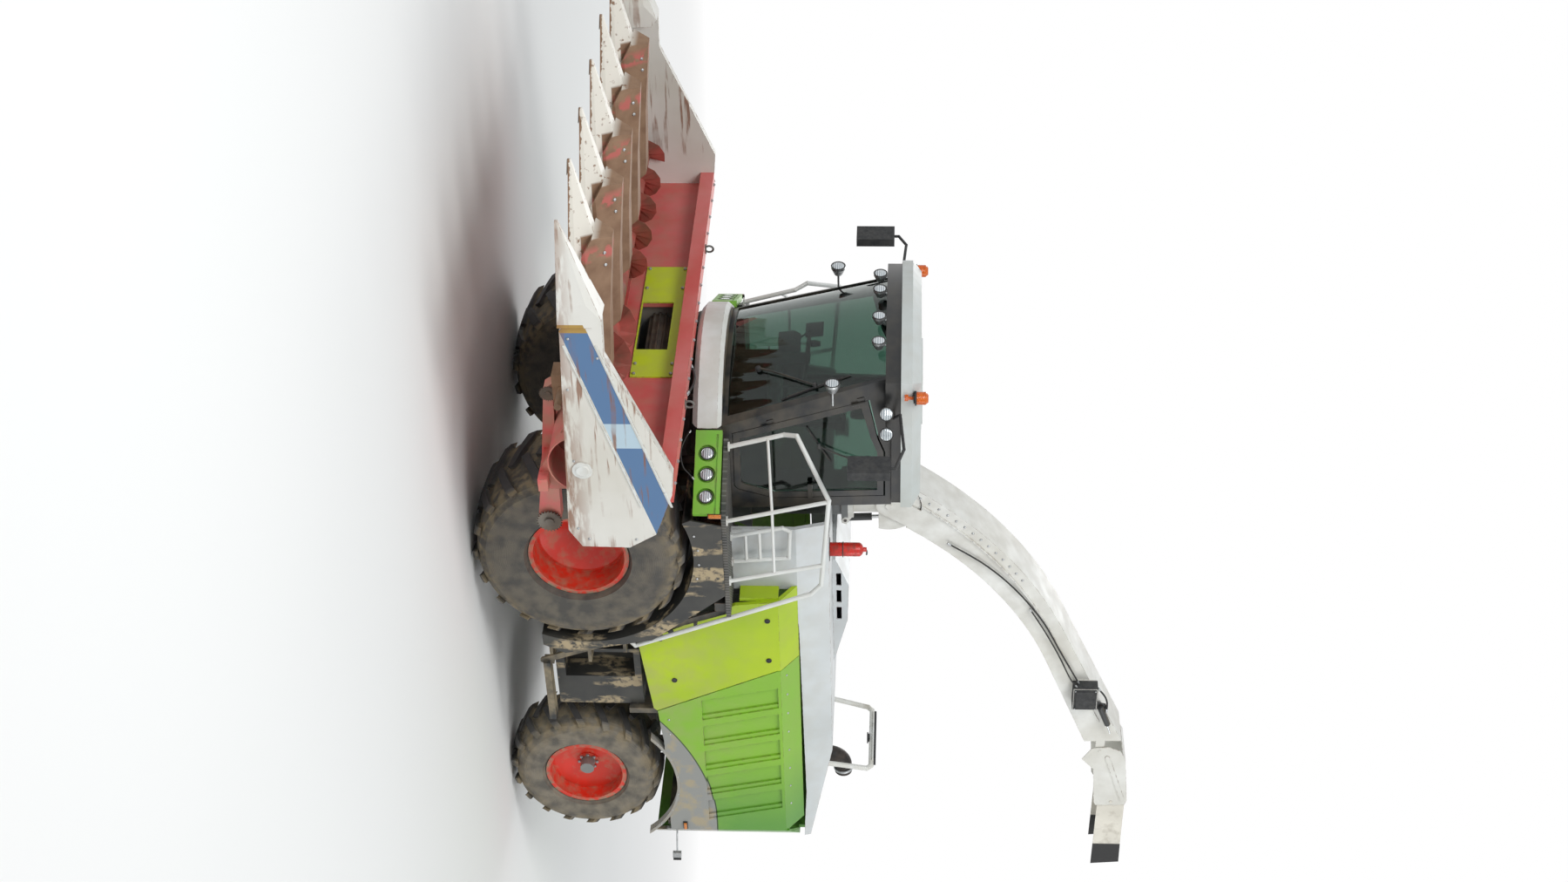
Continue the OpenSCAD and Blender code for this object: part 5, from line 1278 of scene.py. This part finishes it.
def hose(name, places, body, thick=0.018):
    """A hose from the first place to the last, as one open spline that keeps its bends wide."""
    rounded = []
    for i in range(HOSE_POINTS):
        t = i / (HOSE_POINTS - 1) * (len(places) - 1)
        k = min(int(t), len(places) - 2)
        near = (max(k - 1, 0), k, k + 1, min(k + 2, len(places) - 1))
        before, a, b, after = (places[i] for i in near)
        u = t - k
        rounded.append(0.5 * (2 * a + (b - before) * u + (2 * before - 5 * a + 4 * b - after) * u ** 2
                              + (3 * a - before - 3 * b + after) * u ** 3))
    piece = round_curve(name, rounded, thick)
    piece.data.materials.append(finish["hose_rubber"])
    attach(piece, body)
    ferrules = []
    for place, nearby in ((rounded[0], rounded[1]), (rounded[-1], rounded[-2])):
        cylinder(12, thick * 0.72, thick * 2.2)
        pick_faces(ends)
        inset((thick * 0.15, thick * 0.12))
        at = stand(place + (nearby - place).normalized() * thick * 0.6, nearby - place)
        ferrules.append(finished("ferrule", "die_cast_aluminium", bevel_mm=0.6, at=at))
    fittings = joined(name + "_fittings", ferrules, body)


hose("spout_hose_upper", way((-2760, 300, 5570), (-2900, 262, 5640), (-3000, 250, 5668),
                             (-3110, 250, 5668)), "spout")
hose("spout_hose_long", way((-1000, 226, 4100), (-1250, 226, 4440), (-1560, 226, 4735), (-1950, 226, 5000),
                            (-2350, 228, 5190), (-2736, 250, 5380)), "spout", 0.016)
hose("spout_hose_lower", way((-2740, 300, 5360), (-2640, 280, 5290), (-2400, 240, 5180), (-2100, 236, 5040),
                             (-1800, 232, 4880)), "spout", 0.014)

# %% [markdown]
# ## The header's drive, chains and end panels
#
# At the left end a case runs along the header's drive, with a toothed sprocket on its
# outside at either end. The chains that carry the crop have side plates on every link. On
# the end panels two raised beads frame the stripe.

# %% Sprockets at the left end
TOOTH_DEGREES = 5


def teeth(centre, normal):
    """Every third strip of the rim."""
    turned = math.degrees(math.atan2(centre.y, centre.x)) + 360
    return abs(normal.z) < 0.1 and int(turned / TOOTH_DEGREES) % 3 == 0


cylinder(72, 0.105, 0.014)
pick_faces(teeth)
bpy.ops.mesh.extrude_faces_move(TRANSFORM_OT_shrink_fatten={"value": 0.014})
bpy.ops.mesh.select_all(action="SELECT")
bpy.ops.mesh.normals_make_consistent(inside=False)
pick_faces(lambda centre, normal: ends(centre, normal) and centre.xy.length < 0.02)
inset((0.030, -0.002), (0.030, 0.0), (0.004, 0.016))
sprocket = pattern("sprocket", "roll_steel", angle=30)
spots = [stand(mm(700, 1945, 785), (0, 1, 0), 0, 0.9), stand(mm(2020, 1945, 888), (0, 1, 0), 0.2, 0.6)]
copies(sprocket, "drive_sprockets", spots, "header")

# %% Side plates of the gathering chains
ROW_MM, CHAIN_MM, PLATE_MM = 750, 115, 41.5
cylinder(12, 0.010, 0.004)
stretch(2.3, 1.0, 1)
link_plate = pattern("link", "roll_steel", bevel_mm=0.8)
links = []
for row in range(-3, 3):
    for chain in (-CHAIN_MM, CHAIN_MM):
        for edge in (-PLATE_MM, PLATE_MM):
            y = (row + 0.5) * ROW_MM + chain + edge
            links += [Matrix.Translation(mm(2040 + 47 * i, y, 1257.5)) for i in range(20)]
copies(link_plate, "gathering_chain_plates", links, "header")
print("chain plates:", len(links))

# %% Beads along the stripe
BEAD_OFF, BEAD_HALF = STRIPE_HALF * 1000 + 18, 11


def stripe_z(x):
    """Height of the stripe's middle line at this x, both in mm."""
    return STRIPE_LOW[1] * 1000 + STRIPE_SLOPE * (x - STRIPE_LOW[0] * 1000)


beads = []
for offset in (BEAD_OFF, -BEAD_OFF):
    for side, _ in SIDES:
        corners = ((2820, -BEAD_HALF), (2820, BEAD_HALF), (1240, BEAD_HALF), (1240, -BEAD_HALF))
        plate("y", 2390 * side, [(x, stripe_z(x) + offset + edge) for x, edge in corners], 7 * side)
        beads.append(finished("bead", "white_enamel", bevel_mm=3))
joined("end_panel_beads", beads, "header")

# %% Covers over the auger's bearings, and the panels' bolts
cylinder(32, 0.082, 0.008)
pick_faces(up)
inset((0.024, 0.0), (0.010, 0.012), (0.016, -0.002))
bearing_cover = pattern("cover", "white_enamel", bevel_mm=1.5)
spots = [stand(mm(1610, 2394 * side, 1180), (0, side, 0)) for side, _ in SIDES]
copies(bearing_cover, "auger_bearing_covers", spots, "header")
PANEL_BOLTS = ((900, 1180), (900, 1560), (1390, 1812), (1010, 1100),
               (1700, 1120), (2400, 1130), (2880, 1170), (2700, 1380))
spots = [stand(mm(x, 2390 * side, z), (0, side, 0), 0.3, 0.024) for side, _ in SIDES for x, z in PANEL_BOLTS]
copies(button, "end_panel_bolts", spots, "header")

# %% Lifting eyes, bolts and hoses on the header
EYE_Y = 1150
eyes = []
for y in (EYE_Y, -EYE_Y):
    upright = Matrix.Translation(mm(1310, y, 1905)) @ Matrix.Rotation(math.radians(90), 4, "X")
    stretched_ring(28, 10, 0.032, 0.009, 1, 1.15, 1)
    eyes.append(finished("eye", "cast_iron_paint", angle=60, at=upright))
    plate("z", 1870, rect(1270, 1350, y - 22, y + 22), 10)
    eyes.append(finished("eye_foot", "cast_iron_paint", bevel_mm=2))
joined("lifting_eyes", eyes, "header")
spots = [stand(mm(1330, y, 1870), (0, 0, 1), 0.2, 0.030)
         for y in range(-2200, 2201, 275) if abs(abs(y) - EYE_Y) > 60]
spots += [stand(mm(1282, y, z), (1, 0, 0), 0.2, 0.030) for y in (-860, -560, 560, 700) for z in (1395, 1710)]
copies(nut, "header_bolts", spots, "header")
hose("header_hose_one", way((1262, 560, 1874), (1275, 700, 1912), (1285, 850, 1914), (1300, 1000, 1876)),
     "header", 0.020)
hose("header_hose_two", way((1225, -300, 1760), (1180, -420, 1700), (1180, -600, 1560), (1222, -720, 1430)),
     "header", 0.020)

# %% Wear shoes and bolts on the snouts
# The two ends of a shoe: place in x, half its width, and height
TIP, HEEL = (3899, 11, 1150), (3780, 34, 1140)
shoes, spots = [], []
for middle in [ROW_MM * i for i in range(-2, 3)]:
    corners = [(TIP, -1), (TIP, 1), (HEEL, 1), (HEEL, -1)]
    plate_from([mm(x, middle + half * sign, z) for (x, half, z), sign in corners], (0, 0, -0.006))
    shoes.append(finished("shoe", "roll_steel", bevel_mm=2))
    for x in (3010, 3120):
        for side, _ in SIDES:
            place, normal = touch("crop_dividers", mm(x, middle + 95 * side, 1600), (0, 0, -1))
            spots.append(stand(place, normal, 0.3, 0.030))
joined("snout_wear_shoes", shoes, "header")
copies(button, "snout_bolts", spots, "header")
print("header pieces ready")

# %% [markdown]
# ## On the deck, the bumper and the chassis
#
# Small things that give the machine its scale: a red fire extinguisher and a black filler
# neck behind the cab, the cable that hangs under the bumper, the hoses of the header's lift,
# clamps on the exhaust, a pin in the towing jaw, a blank plate, handles and reflectors at
# the back, and a hatch in the roof. The extinguisher is a cylinder whose top is inset and
# drawn up into a neck.

# %% Extinguisher and filler neck
deck = touch("engine_hood", mm(-420, 980, 3400), (0, 0, -1))[0].z * 1000
cylinder(28, 0.062, 0.26, mm(-420, 980, deck + 134))
pick_faces(up)
inset((0.006, 0.012), (0.014, 0.014), (0.020, 0.008), (0.002, 0.030))
parts = [finished("can", "extinguisher_red_enamel", bevel_mm=1.5, angle=50)]
handle = way((-420, 980, deck + 320), (-440, 980, deck + 334), (-480, 980, deck + 326))
parts.append(bar("handle", "moulded_black_plastic", handle, 14))
around = [math.tau * i / 24 for i in range(25)]
strap = way(*[(-420 + 66 * math.cos(a), 980 + 66 * math.sin(a), deck + 120) for a in around])
parts.append(bar("strap", "frame_black_enamel", strap, 8, 2, smooth=False))
plate("z", deck, rect(-495, -345, 905, 1055), 6)
parts.append(finished("foot_pad", "frame_black_enamel", bevel_mm=2))
joined("fire_extinguisher", parts, "chassis")

cylinder(28, 0.075, 0.09, mm(-560, -920, deck + 45))
pick_faces(up)
# A ring of no width gives the bevel more points where the neck meets its lip
inset((0.0, 0.0))
push(0, 0, 0.004)
bpy.ops.transform.resize(value=(1.2, 1.2, 1))
push(0, 0, 0.028)
inset((0.022, -0.006))
finished("fuel_filler", "moulded_black_plastic", "chassis", bevel_mm=3)

# %% Cable under the bumper, and hoses down to the header's lift
hose("bumper_cable", way((905, 1000, 1882), (880, 1080, 1842), (830, 1190, 1812), (740, 1270, 1832),
                         (690, 1300, 1880), (655, 1330, 1922)), "chassis", 0.012)
for side, word in SIDES:
    hose("lift_hose_" + word, way((30, 395 * side, 1090), (60, 372 * side, 980), (95, 352 * side, 880),
                                  (140, 340 * side, 790), (190, 332 * side, 712)), "chassis", 0.020)

# %% Exhaust clamps
stretched_ring(36, 8, 0.088, 0.010, 1, 1, 1.4)
clamp_ring = pattern("clamp", "die_cast_aluminium", angle=50)
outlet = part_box("exhaust_stack")
pipe_z = outlet[1][2] - 0.085
copies(clamp_ring, "exhaust_clamps", [stand(Vector((outlet[0][0] + 0.05, 0.25, pipe_z)), (1, 0, 0)),
                                      stand(mm(-3760, 250, pipe_z * 1000 - 200), (0, 0, 1))], "chassis")

# %% Pin of the towing jaw
cylinder(24, 0.016, 0.13)
pick_faces(ends)
inset((0.004, 0.006))
lying = Matrix.Translation(mm(-3780, 0, 680)) @ Matrix.Rotation(math.radians(90), 4, "X")
pin = finished("pin", "hard_chrome", bevel_mm=1, at=lying)
loop = way((-3780, 58, 700), (-3760, 62, 730), (-3800, 62, 740), (-3790, 58, 700))
clip = bar("clip", "hard_chrome", loop, 5)
joined("towing_pin", [pin, clip], "chassis")

# %% Blank plate, handles and reflectors at the back
back = (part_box("rear_panel")[0][0] - AXLE_X) * 1000
plate("x", back, rect(-260, 260, 2280, 2400), -4)
pick_faces(lambda centre, normal: normal.x < -0.9)
inset((0.010, 0.002))
finished("blank_rear_plate", "white_enamel", "chassis", bevel_mm=1)
handles = []
for y in (-620, 620):
    grip = way((back, y, 2200), (back - 45, y, 2210), (back - 50, y, 2300), (back - 45, y, 2390),
               (back, y, 2400))
    handles.append(bar("handle", "moulded_black_plastic", grip, 20))
joined("rear_handles", handles, "chassis")
for side, word in SIDES:
    marker("rear_reflector_" + word, mm(back, 930 * side, 1440), (-1, 0, 0), 110, 46, "red_lens")

# %% Roof hatch, and the lamp seat under the hoop
roof = touch("cab_roof", mm(800, 0, 4200), (0, 0, -1))[0].z * 1000
plate("z", roof, rect(420, 980, -340, 340), 6)
pick_faces(up)
inset((0.035, 0.0))
push(0, 0, 0.010)
inset((0.030, -0.004))
finished("roof_hatch", "roof_grey_enamel", "chassis", bevel_mm=4)
copies(foot, "hoop_lamp_seat", [stand(mm(-3786, 0, 3352), (0, 0, -1), 0, 0.9)], "chassis")
print("deck and chassis pieces ready")

# %% Remove the patterns
begin()
for original in patterns:
    bpy.data.objects.remove(original)
bpy.context.view_layer.update()
